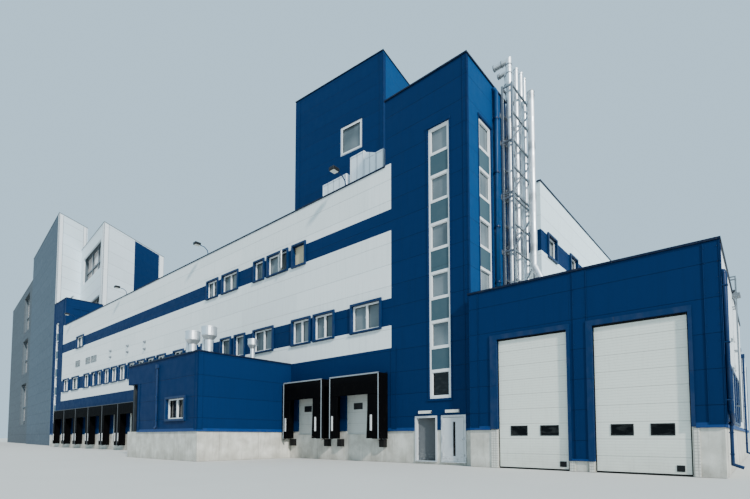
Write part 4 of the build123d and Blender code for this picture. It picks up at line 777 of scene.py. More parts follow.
@dataclass(frozen=True)
class Row:
    """Pieces repeated at an even spacing along lines, made by Geometry Nodes."""

    shape: Repeated
    spacing: float
    size: Point
    facing: Point = (0.0, 0.0, 0.0)
    sides: int = 6

    def tree(self, material: bpy.types.Material) -> bpy.types.NodeTree:
        """Build the node tree: lines, even points, one small shape on each, then one plain mesh.

        Args:
            material: The finish of the result.

        Returns:
            The tree, with named inputs for its sizes.
        """
        tree = bpy.data.node_groups.new("row_of_" + self.shape.value, "GeometryNodeTree")
        for name, kind in (("Geometry", "Geometry"), ("Spacing", "Float"), ("Size", "Vector"),
                           ("Facing", "Vector")):
            tree.interface.new_socket(name, in_out="INPUT", socket_type="NodeSocket" + kind)
        tree.interface.new_socket("Geometry", in_out="OUTPUT", socket_type="NodeSocketGeometry")
        given = add_node(tree, "NodeGroupInput").outputs
        curve = add_node(tree, "GeometryNodeMeshToCurve", {0: given["Geometry"]}).outputs[0]
        points = add_node(tree, "GeometryNodeResampleCurve", {"Curve": curve, "Length": given["Spacing"]},
                          mode="LENGTH").outputs[0]
        if self.shape is Repeated.SLAT:
            shape = add_node(tree, "GeometryNodeMeshCube", {"Size": given["Size"]})
        else:
            size = add_node(tree, "ShaderNodeSeparateXYZ", {0: given["Size"]}).outputs
            shape = add_node(tree, "GeometryNodeMeshCylinder",
                             {"Radius": size[0], "Depth": size[2], "Vertices": self.sides})
        way = given["Facing"] if any(self.facing) else add_node(tree, "GeometryNodeInputTangent").outputs[0]
        turn = add_node(tree, "FunctionNodeAlignRotationToVector", {"Vector": way}, axis="Z").outputs[0]
        placed = add_node(tree, "GeometryNodeInstanceOnPoints",
                          {"Points": points, "Instance": shape.outputs[0], "Rotation": turn}).outputs[0]
        real = add_node(tree, "GeometryNodeRealizeInstances", {0: placed}).outputs[0]
        dressed = add_node(tree, "GeometryNodeSetMaterial", {"Geometry": real, "Material": material})
        add_node(tree, "NodeGroupOutput", {0: dressed.outputs[0]})
        return tree

    def build(self, name: str, lines: Sequence[Sequence[Vector]], finish: Finish, slot: str,
              body: str = BODY) -> None:
        """Run the tree on lines and keep its result as a plain mesh.

        Args:
            name: The piece's name.
            lines: Lines of places in the model.
            finish: The finish of the pieces.
            slot: The record's slot; not used.
            body: The body that they move with.
        """
        data = bpy.data.meshes.new(name + "_lines")
        places: List[Vector] = []
        edges: List[Tuple[int, int]] = []
        for line in lines:
            edges += [(len(places) + i, len(places) + i + 1) for i in range(len(line) - 1)]
            places += list(line)
        data.from_pydata(places, edges, [])
        maker = bpy.data.objects.new(name + "_lines", data)
        bpy.context.scene.collection.objects.link(maker)
        modifier = maker.modifiers.new("row", "NODES")
        modifier.node_group = self.tree(finish.material())
        values = {"Spacing": self.spacing * SCALE, "Size": tuple(v * SCALE for v in self.size),
                  "Facing": self.facing}
        for item in modifier.node_group.interface.items_tree:
            if item.in_out == "INPUT" and item.name in values:
                modifier[item.identifier] = values[item.name]
        evaluated = maker.evaluated_get(bpy.context.evaluated_depsgraph_get())
        made = bpy.data.meshes.new_from_object(evaluated)
        maker.modifiers.clear()
        bpy.data.objects.remove(maker)
        made.name = name
        if not made.materials:
            made.materials.append(finish.material())
        settle(name, made, body)


@dataclass
class CarriedNodes:
    """The CAD nodes that stay as they are and get their finishes."""

    finishes: Dict[str, Finish] = field(default_factory=lambda: {
        node: finish for finish, nodes in DRESSED.items() for node in nodes.split()})

    def build(self) -> None:
        """Dress every node with its finish, mostly that of its real material; the left door leaf, the porch
        post, the mast and the blue towers' yard sides carry painted light and shade.
        """
        for name, piece in frame["nodes"].items():
            piece.data.materials.clear()
            piece.data.materials.append(self.finishes[name].material())
            LOG.info("%s: %s", name, self.finishes[name].name)


@dataclass(frozen=True)
class FoldedTrim:
    """A kind of flat trim whose long edges are folded up: its sheet, its folds, softened edges."""

    sheet: float
    fold_wide: float
    fold_out: float
    soft: float
    fold_soft: float

    def build(self, trims: Sequence[Tuple[Face, float, float, float, float]]) -> Tuple[Workpiece, Workpiece]:
        """Build the flat sheets and the folds of trims.

        Args:
            trims: Their wall, left and right side, foot and top.

        Returns:
            The sheets and the folds, each as a mesh under construction.
        """
        sheets, folds = Workpiece(), Workpiece()
        for face, start, end, low, high in trims:
            sheets.block(face, (start, end), (0.0, self.sheet), (low, high), self.soft)
            for line in (start, end - self.fold_wide):
                folds.block(face, (line, line + self.fold_wide), (0.0, self.fold_out), (low, high),
                            self.fold_soft)
        return sheets, folds


@dataclass
class Flashings:
    """Drip edges over the concrete base and folded trims at the corners of the walls."""

    drip_out: float = 0.035
    drip: Pair = (1.565, DRIP_TOP)
    drip_back: float = -0.02
    lip: Pair = (0.010, 0.07)
    blue: FoldedTrim = FoldedTrim(sheet=0.014, fold_wide=0.02, fold_out=0.028, soft=0.004, fold_soft=0.004)
    pale: FoldedTrim = FoldedTrim(sheet=0.03, fold_wide=0.06, fold_out=0.05, soft=0.01, fold_soft=SOFT)

    def drips(self) -> None:
        """The bright blue drip edge along the foot of the cladding."""
        work = Workpiece()
        lip_out, lip_high = self.lip
        for face, start, end in (
                (STREET, -62.50, -61.0), (STREET, -61.0, -58.35), (STREET, -21.4, -21.3),
                (STREET, -4.68, -3.02), (STREET, -0.21, 0.22), (STREET, -8.86, -8.24),
                (ANNEX_STREET, 0.22, 1.21), (ANNEX_STREET, 8.27, ANNEX_RIGHT),
                (OFFICE_STREET, OFFICE_LEFT, OFFICE_RIGHT), (ANNEX_YARD, ANNEX_FRONT, 24.0),
                (OFFICE_YARD, OFFICE_FRONT, -0.02), (LEFT_TOWER_SIDE, 4.3, 4.35), (FAR_SIDE, 0.0, 4.25),
                (REAR_SIDE, -0.9, -HALL_LEFT), (STREET, -12.44, -12.26)):
            work.block(face, (start, end), (self.drip_back, self.drip_out), self.drip, ROUND)
            work.block(face, (start, end), (0.0, lip_out), (self.drip[1], self.drip[1] + lip_high), 0.0)
        pier, pier_drip = (4.34, 5.27), (0.385, 0.46)
        work.block(ANNEX_STREET, pier, (self.drip_back, self.drip_out + 0.01), pier_drip, ROUND)
        work.done("drip_edges", DRIP, "blue_trim")

    def corners(self) -> None:
        """Folded corner and joint trims on the blue walls."""
        roof_foot, roof_top, annex_top, porch_head = 14.85, 31.9, 6.28, 4.6
        sheets, folds = self.blue.build((
            (STREET, -0.20, 0.0, DRIP_TOP, STAIR_COPING), (TOWER_SIDE, 0.0, 0.12, 7.7, STAIR_COPING),
            (STREET, -4.46, -4.12, DRIP_TOP, 5.83), (STREET, -62.5, -62.3, DRIP_TOP, STAIR_COPING),
            (STREET, -58.65, -58.40, 8.5, STAIR_COPING), (LEFT_TOWER_SIDE, 0.0, 0.2, 15.7, STAIR_COPING),
            (ANNEX_STREET, 0.25, 0.68, DRIP_TOP, ANNEX_COPING),
            (ANNEX_STREET, 4.59, 5.09, 0.46, ANNEX_COPING),
            (ANNEX_STREET, 8.61, ANNEX_RIGHT, DRIP_TOP, ANNEX_COPING),
            (ANNEX_YARD, ANNEX_FRONT, 0.0, DRIP_TOP, ANNEX_COPING),
            (OFFICE_STREET, -12.75, OFFICE_RIGHT, DRIP_TOP, 5.76),
            (OFFICE_YARD, OFFICE_FRONT, -5.85, DRIP_TOP, 5.76),
            (OFFICE_STREET, OFFICE_LEFT, -19.5, DRIP_TOP, porch_head),
            (ROOF_STREET, 0.0, 0.35, roof_foot, roof_top), (ROOF_STREET, 9.2, 9.75, roof_foot, roof_top),
            (ROOF_YARD, 0.0, 0.35, roof_foot, roof_top), (ANNEX_YARD, 14.5, 14.85, DRIP_TOP, annex_top),
            (ANNEX_YARD, 23.6, 24.0, DRIP_TOP, annex_top)))
        sheets.done("corner_trims", DARK_BLUE, "blue_panel")
        folds.done("trim_folds", DARK_BLUE, "blue_panel")

    def light_trims(self) -> None:
        """Pale trims of the grey towers, their folds grey as painted shadow lines, and the blue panel of the
        right one.
        """
        tall, right = 34.9, 30.8
        sheets, folds = self.pale.build((
            (TALL_LIGHT, 0.0, 0.72, 0.0, tall), (TALL_LIGHT, 4.42, 5.06, 0.0, tall),
            (TALL_DARK, 0.0, 0.5, 0.0, tall), (RIGHT_LIGHT, 0.0, 0.85, 0.0, right),
            (RIGHT_LIGHT, 11.56, 12.66, 0.0, right), (RIGHT_DARK, 0.0, 0.7, 0.0, right)))
        sheets.done("grey_tower_trims", PALE_TRIM, "grey_trim")
        # Painted shadow: the grey folds stand for thin shadow lines along the pale trims.
        folds.done("grey_tower_folds_painted_shadow", GREY_TRIM, "light_panel")
        panel = Workpiece()
        panel.block(RIGHT_LIGHT, (5.96, 11.49), (0.0, 0.02), (0.0, right))
        panel.done("grey_tower_blue_panel", DARK_BLUE, "blue_panel")

    def screws(self) -> None:
        """Fixing screws along the folds of the corner trims."""
        lines = []
        for face, places, foot, top in ((STREET, (-0.16, -0.04), 1.8, 18.9),
                                        (ANNEX_STREET, (0.30, 0.63, 8.66, 9.0), 1.8, 7.3),
                                        (ANNEX_STREET, (4.64, 5.04), 0.6, 7.3)):
            lines += [[face.point(x, 0.03, z) for z in (foot, top)] for x in places]
        Row(Repeated.SCREW, 0.5, (0.012, 0.012, 0.016), (0.0, -1.0, 0.0)).build(
            "trim_screws", lines, TRIM, "blue_trim")

    def build(self) -> None:
        """Build all flashings."""
        self.drips()
        self.corners()
        self.light_trims()
        self.screws()


@dataclass
class StairWindows:
    """The tall window strips of the stair towers, and the pipe beside the one on the yard side."""

    sills: Tuple[float, ...] = (3.08, 5.44, 7.82, 10.22, 12.60, 14.98)
    high: float = 1.38
    side_sills: Tuple[float, ...] = (7.90, 10.33, 12.80, 15.22)
    side_high: float = 1.48
    frame: float = 0.13
    bead: float = 0.025
    hood: float = 0.10
    pipe: Point = (2.72, 0.16, 0.13)
    pipe_heights: Pair = (7.53, 18.75)
    brackets: Tuple[float, ...] = (8.9, 11.7, 14.5, 17.3)

    def side_pipe(self) -> None:
        """The round blue pipe beside the yard side's strip, with joint rings and wall brackets."""
        work, brackets = Workpiece(), Workpiece()
        along, out, radius = self.pipe
        low, top = self.pipe_heights
        ring, half = 0.07, 0.035
        work.rod([TOWER_SIDE.point(along, o, z) for o, z in
                  ((out, low), (out, top), (out - 0.06, top + 0.13), (0.0, top + 0.16))], radius, 20)
        work.done("tower_side_pipe", PIPE_BLUE, "blue_trim", smooth=True)
        for z in self.brackets:
            brackets.rod([TOWER_SIDE.point(along, out, h) for h in (z, z + ring)], radius + 0.018, 20)
            brackets.block(TOWER_SIDE, (along - half, along + half), (0.0, out), (z, z + ring))
        brackets.done("tower_pipe_brackets", TRIM, "blue_trim")

    def build(self) -> None:
        """Spandrels, glazing beads round each pane, and the folded hood over each strip."""
        self.side_pipe()
        spandrels, beads, hoods = Workpiece(), Workpiece(), Workpiece()
        inset, hood_out = 0.083, (0.0, 0.05)
        for face, (left, right), sills, high in (
                (STREET, (-2.14, -0.97), self.sills, self.high),
                (STREET, (-61.53, -60.36), self.sills, self.high),
                (TOWER_SIDE, (1.16, 2.42), self.side_sills, self.side_high)):
            for sill, above in zip(sills[:-1], sills[1:]):
                spandrels.block(face, (left + inset, right - inset), (-0.069, -0.055), (sill + high, above),
                                0.003)
            for sill in sills:
                beads.frame(face, (left + self.frame, right - self.frame), (-0.115, -0.075),
                            (sill + self.frame, sill + high - self.frame), self.bead, 0.004, lapped=True)
            top = sills[-1] + high
            for z in ((top, top + 0.13), (sills[0] - 0.12, sills[0] - 0.02)):
                hoods.block(face, (left - self.hood, right + self.hood), hood_out, z, ROUND)
            for x in (left - 0.08, right + 0.02):
                hoods.block(face, (x, x + 0.06), (0.0, 0.03), (sills[0], top))
        spandrels.done("stair_spandrels", SPANDREL, "blue_trim")
        beads.done("stair_glazing_beads", VINYL, "white_frame")
        hoods.done("stair_strip_folds", DARK_BLUE, "blue_panel")


@dataclass
class HallWindows:
    """Gaskets, handles and sills of the hall's window rows, and the one sash that stands open."""

    low_row: Tuple[Pair, ...] = (
        (1.36, 2.00), (4.65, 1.58), (6.69, 1.56), (10.56, 2.05), (13.32, 1.15), (15.13, 1.20), (17.75, 1.60),
        (20.05, 1.60), (22.35, 1.60), (25.50, 1.50), (27.59, 1.50), (29.67, 1.50), (31.77, 1.50),
        (34.08, 1.50), (36.17, 1.40), (38.22, 1.40), (40.33, 1.30), (42.02, 1.10), (44.35, 1.50),
        (48.20, 2.30), (51.70, 2.05))
    high_row: Tuple[Pair, ...] = ((9.10, 2.00), (11.13, 1.00), (14.71, 1.95), (17.15, 1.45), (46.95, 2.30))
    low: Pair = (7.02, 8.46)
    high: Pair = (12.00, 13.26)
    open_bay: Pair = (-11.80, 1.10)
    frame: float = 0.06
    sash: float = 0.03
    gasket: float = 0.012
    mullion: float = 0.045
    two_sashes: float = 1.3
    sill: Tuple[Pair, ...] = ((-0.05, 0.02), (0.10, 0.05), (0.13, 0.055), (0.13, 0.10))
    sill_past: float = 0.13
    open_bar: float = 0.07
    open_angle: float = 0.5

    def rows(self) -> List[Tuple[float, float, Pair]]:
        """The middle, width and heights of every window of the front."""
        return [(-STAIR_WIDE - x, w, z) for row, z in ((self.low_row, self.low), (self.high_row, self.high))
                for x, w in row]

    def open_sash(self) -> None:
        """The sash that stands open, its pane, and the lining of the open bay beside it."""
        sash, pane, lining = Workpiece(), Workpiece(), Workpiece()
        x, w, (z0, z1) = self.rows()[len(self.low_row)]
        left, low, top = x + 0.05, z0 + self.frame, z1 - self.frame
        wide = x + w / 2 - self.frame - left
        hinge = Face((left, 0.08), (math.cos(self.open_angle), -math.sin(self.open_angle)))
        sash.frame(hinge, (0.0, wide), (-0.03, 0.03), (low, top), self.open_bar)
        sash.done("open_sash", VINYL, "white_frame")
        rebate = 0.06
        pane.block(hinge, (rebate, wide - rebate), (-0.006, 0.006), (low + rebate, top - rebate), 0.002)
        pane.done("open_sash_pane", GLASS, "glass")
        (x, w), gap = self.open_bay, 0.004
        lining.block(STREET, (x - w / 2 + gap, x + w / 2 - gap), (-0.19, -0.165),
                     (self.high[0] + gap, self.high[1] - gap), 0.0)
        lining.done("open_bay_lining", PLASTER, "light_panel")

    def build(self) -> None:
        """Sash frames, gaskets, handles and sloping sills."""
        sashes, gaskets, sills, handles = Workpiece(), Workpiece(), Workpiece(), Workpiece()
        for x, w, (z0, z1) in self.rows():
            left, right = x - w / 2 + self.frame, x + w / 2 - self.frame
            low, top, middle = z0 + self.frame, z1 - self.frame, (z0 + z1) / 2
            post = [x - self.mullion, x + self.mullion] if w > self.two_sashes else []
            ends = [left, *post, right]
            for a, b in zip(ends[::2], ends[1::2]):
                sashes.frame(STREET, (a, b), (-0.14, -0.085), (low, top), self.sash)
                for z in (low + self.sash, top - self.sash - self.gasket):
                    gaskets.block(STREET, (a + self.sash, b - self.sash), (-0.15, -0.11),
                                  (z, z + self.gasket), 0.0)
                handles.block(STREET, (b - 0.04, b - 0.018), (-0.085, -0.075), (middle - 0.05, middle + 0.05),
                              0.003)
            past = (x - w / 2 - self.sill_past, x + w / 2 + self.sill_past)
            slope = [[STREET.point(end, out, z0 - drop) for out, drop in self.sill] for end in past]
            sills.sheet(slope, 0.006)
        sashes.done("window_sashes", VINYL, "white_frame")
        gaskets.done("window_gaskets", DARK_PLASTIC_AND_SHADE, "black_rubber")
        sills.done("window_sills", TRIM, "blue_trim")
        handles.done("window_handles", WHITE_PLASTIC, "white_frame")
        self.open_sash()


@dataclass
class WallVents:
    """Louvred grilles on the middle white band, and small round outlets beside them."""

    grilles: Tuple[Pair, ...] = ((-53.1, -51.6), (-49.6, -48.2), (-47.85, -46.2))
    heights: Pair = (9.70, 10.40)
    outlets: Tuple[Pair, ...] = ((-42.1, 10.3), (-42.1, 9.66), (-37.7, 10.27), (-37.7, 9.66),
                                 (-33.8, 10.14), (-33.8, 9.47))
    pipe: float = 0.09
    rose: float = 0.15

    def build(self) -> None:
        """Frames, slats by a row, and stub pipes with caps."""
        frames, lines = Workpiece(), []
        low, high = self.heights
        for left, right in self.grilles:
            frames.frame(STREET, (left, right), (0.0, 0.06), self.heights, 0.05)
            lines.append([STREET.point((left + right) / 2, 0.025, z) for z in (low + 0.10, high - 0.06)])
        for x, z in self.outlets:
            for outs, radius in (((0.0, 0.16, 0.18), self.pipe), ((0.0, 0.012), self.rose)):
                frames.rod([STREET.point(x, out, z) for out in outs], radius, 14)
        frames.done("wall_vent_frames", MAST_STEEL, "galvanised_steel")
        Row(Repeated.SLAT, 0.075, (1.42, 0.045, 0.012), (0.0, -0.5, 0.86)).build(
            "wall_vent_slats", lines, MAST_STEEL, "galvanised_steel")


@dataclass
class SectionalDoors:
    """Window frames, grilles, seals and block strips of the two vehicle doors."""

    windows: Tuple[Pair, ...] = ((2.07, 2.72), (3.28, 3.94), (5.80, 6.47), (7.03, 7.68))
    window: Pair = (1.32, 1.73)
    window_bar: float = 0.04
    vents: Tuple[Pair, ...] = ((3.98, 4.23), (7.71, 7.94))
    vent: Pair = (0.14, 0.35)
    leaves: Tuple[Pair, ...] = ((1.53, 4.34), (5.26, 8.16))
    head: Pair = (5.27, 5.34)
    sill: float = 0.06
    seal: float = 0.035
    blocks: Tuple[Point, ...] = ((1.21, 1.50, 1.56), (8.19, 8.36, 1.56), (4.36, 4.55, 0.38),
                                 (5.05, 5.22, 0.38))
    face: Face = facing_street(-0.35)

    def build(self) -> None:
        """Build what sits on the door leaves and beside them."""
        frames, lines, seals, jambs, tints = Workpiece(), [], Workpiece(), Workpiece(), Workpiece()
        low, top = self.window
        for left, right in self.windows:
            frames.frame(self.face, (left - 0.03, right + 0.03), (-0.02, 0.02), self.window, self.window_bar,
                         0.008)
            tints.block(self.face, (left + 0.005, right - 0.005), (-0.045, -0.03), (low + 0.035, top - 0.035),
                        0.002)
        for left, right in self.vents:
            frames.frame(self.face, (left, right), (0.0, 0.018), self.vent, 0.02, 0.005)
            frames.block(self.face, (left + 0.01, right - 0.01), (0.0, 0.004), (0.15, 0.34), 0.0)
            lines.append([self.face.point((left + right) / 2, 0.01, z) for z in (0.17, 0.33)])
        for left, right in self.leaves:
            seals.block(self.face, (left + 0.01, right - 0.01), (-0.02, 0.012), (0.0, self.sill), ROUND)
            seals.block(self.face, (left, right), (-0.01, 0.03), self.head, ROUND)
            for x in (left, right - self.seal):
                seals.block(self.face, (x, x + self.seal), (0.0, 0.025), (self.sill, self.head[0]))
        frames.done("door_window_frames", DARK_PLASTIC_AND_SHADE, "black_rubber")
        tints.done("door_window_panes", TINTED, "glass")
        Row(Repeated.SLAT, 0.028, (0.22, 0.016, 0.004), (0.0, -0.6, 0.8)).build(
            "door_vent_slats", lines, DARK_PLASTIC_AND_SHADE, "black_rubber")
        seals.done("door_seals", BLACK_RUBBER, "black_rubber")
        for left, right, top in self.blocks:
            jambs.block(ANNEX_STREET, (left, right), (-0.05, 0.0), (0.0, top))
        jambs.done("door_jamb_blocks", JAMB_BLOCK, "concrete")


@dataclass
class PersonnelDoors:
    """Fittings of the two personnel doors: thresholds, lamp housings, slot window, joint strip."""

    doorways: Tuple[Pair, ...] = ((-3.01, -1.73), (-1.52, -0.22))
    slot: Pair = (-0.87, -0.78)
    slot_heights: Pair = (0.43, 1.95)
    slot_trim: float = 0.02
    leaf_joint: Pair = (-0.542, -0.530)
    threshold: Pair = (0.10, 0.155)
    lamp: Pair = (2.395, 2.495)
    lamp_half: float = 0.34
    cheek: Pair = (2.385, 2.505)

    def build(self) -> None:
        """Thresholds and lamp housings of both, then the slot of the right leaf."""
        steps, lamps, glass, trim = Workpiece(), Workpiece(), Workpiece(), Workpiece()
        for left, right in self.doorways:
            steps.block(STREET, (left + 0.02, right - 0.02), (-0.16, 0.03), self.threshold, ROUND)
            middle = (left + right) / 2
            for x in (middle - 0.35, middle + 0.31):
                lamps.block(STREET, (x, x + 0.04), (0.0, 0.13), self.cheek, ROUND)
            wide = (middle - self.lamp_half, middle + self.lamp_half)
            lamps.block(STREET, wide, (0.0, 0.04), self.lamp, ROUND)
        steps.done("door_thresholds", GALVANISED, "galvanised_steel")
        lamps.done("door_lamp_housings", WHITE_PLASTIC, "white_frame")
        (left, right), (low, top), wide, gap = self.slot, self.slot_heights, self.slot_trim, 0.002
        glass.block(STREET, (left + gap, right - gap), (-0.034, -0.028), (low + gap, top - gap), 0.002)
        glass.done("right_door_slot_glass", TINTED, "glass", "right_door")
        for side in ((left - wide, left), (right, right + wide)):
            trim.block(STREET, side, (-0.015, -0.004), (low - wide, top + wide), 0.003)
        for z in ((low - wide, low), (top, top + wide)):
            trim.block(STREET, self.slot, (-0.015, -0.004), z, 0.003)
        trim.block(STREET, self.leaf_joint, (-0.018, -0.012), (0.20, 2.17), 0.0)
        trim.done("right_door_slot_trim", BLACK_RUBBER, "black_rubber", "right_door")


@dataclass
class DockShelters:
    """What hangs on the dock shelters: pleated head curtains, edge bars, marker strips, windows."""

    right: Tuple[Pair, ...] = ((-12.25, -8.87), (-8.23, -4.70))
    left_start: float = -58.30
    pitch: float = 4.10
    count: int = 9
    apart: float = 0.02
    feet: Pair = (1.18, 0.45)
    bars: Pair = (0.05, 0.035)
    window_shift: float = 0.38
    deep: float = 0.74
    top: float = 4.53
    opening_top: float = 3.58
    # Head curtain: points across it, waves a point, and depth of a wave at a metre under the top
    folds: int = 24
    wave: float = 1.9
    wave_deep: float = 0.007
    # Side curtains: from which edge, widths at the head and the foot, and place of the marker strip
    sides: Tuple[Five, ...] = ((0, 1, 0.66, 0.46, 0.22), (1, -1, 0.74, 0.86, 0.50))
    rows_down: int = 8
    rows_across: int = 6
    # Marker strips: heights over the foot, and half their width
    marker: Pair = (0.42, 1.22)
    marker_half: float = 0.055
    door_window: Pair = (2.77, 3.13)
    door_window_half: float = 0.33

    def bays(self) -> List[Tuple[float, float, float]]:
        """Left side, right side and foot of every shelter."""
        starts = [self.left_start + self.pitch * i for i in range(self.count)]
        return [(a, b, self.feet[0]) for a, b in self.right] + [
            (a + self.apart, a + self.pitch - self.apart, self.feet[1]) for a in starts]

    def head_curtain(self, left: float, right: float) -> List[List[Vector]]:
        """The wavy curtain over the mouth of a shelter.

        Args:
            left: The shelter's left side.
            right: Its right side.

        Returns:
            Rows of points from its top down.
        """
        rows = []
        for z in (self.top - 0.06, self.top - 0.45, self.opening_top - 0.08, self.opening_top - 0.12):
            row = []
            for i in range(self.folds + 1):
                x = left + 0.10 + (right - left - 0.20) * i / self.folds
                fold = self.wave_deep * math.sin(i * self.wave) * (self.top - z)
                row.append(STREET.point(x, self.deep + 0.012 + fold, z))
            rows.append(row)
        return rows

    def side_curtain(self, edge: float, way: float, head: float, sole: float,
                     foot: float) -> List[List[Vector]]:
        """The curtain beside the mouth of a shelter, which bellies in towards its foot.

        Args:
            edge: The side of the shelter that it hangs on.
            way: One if it reaches to the right, minus one to the left.
            head: Its width at the head.
            sole: Its width at the foot.
            foot: Height of its foot.

        Returns:
            Rows of points from its top down.
        """
        rows = []
        for i in range(self.rows_down + 1):
            share = i / self.rows_down
            z = self.opening_top + 0.05 + (foot + 0.02 - self.opening_top - 0.05) * share
            wide = head + (sole - head) * share ** 1.5
            steps = [k / self.rows_across for k in range(self.rows_across + 1)]
            rows.append([STREET.point(edge + way * (0.05 + (wide - 0.05) * k),
                                      self.deep + 0.002 - 0.05 * k ** 2 * share, z) for k in steps])
        return rows

    def build(self) -> None:
        """Edge bars, pleated head curtains, side bellows, markers and door windows."""
        bright, dull, curtains, sides, markers, panes = (Workpiece() for _ in range(6))
        edge_out, doors = (self.deep - 0.03, self.deep + 0.02), facing_street(0.10)
        for left, right, foot in self.bays():
            bars, wide = (bright, self.bars[0]) if foot == self.feet[0] else (dull, self.bars[1])
            for x in (left, right - wide):
                bars.block(STREET, (x, x + wide), edge_out, (foot, self.top), ROUND)
            bars.block(STREET, (left, right), edge_out, (self.top - wide, self.top + 0.02), ROUND)
            curtains.sheet(self.head_curtain(left, right), 0.012)
            for index, way, head, sole, mark in self.sides:
                edge = (left, right)[index]
                sides.sheet(self.side_curtain(edge, way, head, sole, foot), 0.010)
                strip, half = edge + way * mark, self.marker_half
                markers.block(STREET, (strip - half, strip + half), (self.deep - 0.02, self.deep + 0.024),
                              (foot + self.marker[0], foot + self.marker[1]))
            middle, half = (left + right) / 2 - self.window_shift, self.door_window_half
            panes.block(doors, (middle - half, middle + half), (-0.005, 0.012), self.door_window, 0.01)
        bright.done("shelter_edge_bars", GREY_TRIM, "galvanised_steel")
        dull.done("left_shelter_edge_bars", DARK_ALLOY, "galvanised_steel")
        sides.done("shelter_side_curtains", FLAP, "black_rubber", smooth=True)
        curtains.done("shelter_head_curtains", FLAP, "black_rubber", smooth=True)
        markers.done("shelter_markers", WHITE_PLASTIC, "white_frame")
        panes.done("dock_door_windows", DARK_PLASTIC_AND_SHADE, "black_rubber")
        bellows = [[STREET.point(x, self.deep / 2, z) for z in (foot + 0.05, self.top - 0.05)]
                   for left, right, foot in self.bays() for x in (left, right)]
        Row(Repeated.SLAT, 0.16, (0.016, self.deep, 0.03), (0.0, -0.35, 0.94)).build(
            "shelter_side_pleats", bellows, FLAP, "black_rubber")


@dataclass
class FlueStack:
    """Clamp rings, rims, bend collars, mouths of painted shade and clamps of the flues, and bolts on the
    mast.
    """

    # Place along and behind the front, top and radius of every flue
    flues: Tuple[Four, ...] = (
        (0.34, 4.86, 21.20, 0.125), (0.34, 5.49, 21.35, 0.12), (0.34, 5.98, 21.35, 0.09),
        (0.34, 3.97, 20.90, 0.15), (-0.05, 4.56, 20.85, 0.12), (0.97, 5.30, 19.85, 0.19))
    # The same for the two bends, and how far each reaches
    bends: Tuple[Five, ...] = ((0.34, 3.97, 21.13, 0.15, 0.85), (-0.05, 4.56, 21.05, 0.12, 0.50))
    big: float = 0.18
    feet: Pair = (10.8, 7.4)
    clamp_levels: Tuple[float, ...] = (7.95, 10.80, 13.60, 16.60, 19.45)
    bolt_levels: Tuple[float, ...] = (10.75, 13.70, 16.55)
    posts: Pair = (0.11, 0.62)
    mast_front: float = 3.62

    def bend(self, collars: Workpiece, throats: Workpiece, bend: Five) -> None:
        """Add the collars and the mouth of a bend, dark as painted shade.

        Args:
            collars: The mesh of all collars.
            throats: The mesh of all mouths, dark discs of painted shade.
            bend: Its place, height, radius and reach.
        """
        x, y, z, radius, reach = bend
        for low in (z - 0.75, z - 0.28):
            collars.disc(x, y, (low, low + 0.05), radius + 0.022, 24)
        for way in (0.35, reach - 0.05):
            collars.rod([at(x - way, y, z), at(x - way - 0.045, y, z)], radius + 0.022, 24)
        throats.rod([at(x - reach - 0.002, y, z), at(x - reach - 0.008, y, z)], radius - 0.01, 24)

    def build(self) -> None:
        """Rings, rims and mouths of the flues, the mouths dark as painted shade, then the mast's clamps and
        bolts.
        """
        throats, rims, collars, clamps = (Workpiece() for _ in range(4))
        for index, (x, y, top, radius) in enumerate(self.flues):
            low = self.feet[0] if radius > self.big else self.feet[1]
            Row(Repeated.RING, 2.8, (radius + 0.010, radius + 0.010, 0.04), sides=20).build(
                "flue_rings_%d" % (index + 1), [[at(x, y, low), at(x, y, top - 0.2)]], STAINLESS,
                "bright_steel")
        for x, y, top, radius in self.flues[:3]:
            rims.disc(x, y, (top - 0.05, top + 0.01), radius + 0.02, 24)
            # Painted shade: a dark disc in each open top.
            throats.disc(x, y, (top + 0.005, top + 0.014), radius - 0.01, 24)
        rims.done("flue_rims", STAINLESS, "bright_steel")
        for bend in self.bends:
            self.bend(collars, throats, bend)
        collars.done("flue_bend_collars", MAST_STEEL, "bright_steel")
        throats.done("flue_mouths_painted_shade", DARK_PLASTIC_AND_SHADE, "black_rubber")
        for z in self.clamp_levels:
            for x, y, _, radius in self.flues[:4]:
                reach = radius + 0.03
                clamps.block(facing_street(y, x), (-reach, reach), (-0.03, 0.03), (z, z + 0.05))
        clamps.done("flue_clamps", GALVANISED, "galvanised_steel")
        bolts = [[at(x, self.mast_front, z - 0.4), at(x, self.mast_front, z + 0.4)] for x in self.posts
                 for z in self.bolt_levels]
        Row(Repeated.SCREW, 0.12, (0.016, 0.016, 0.13), (0.0, 1.0, 0.0)).build(
            "mast_bolts", bolts, GALVANISED, "galvanised_steel")


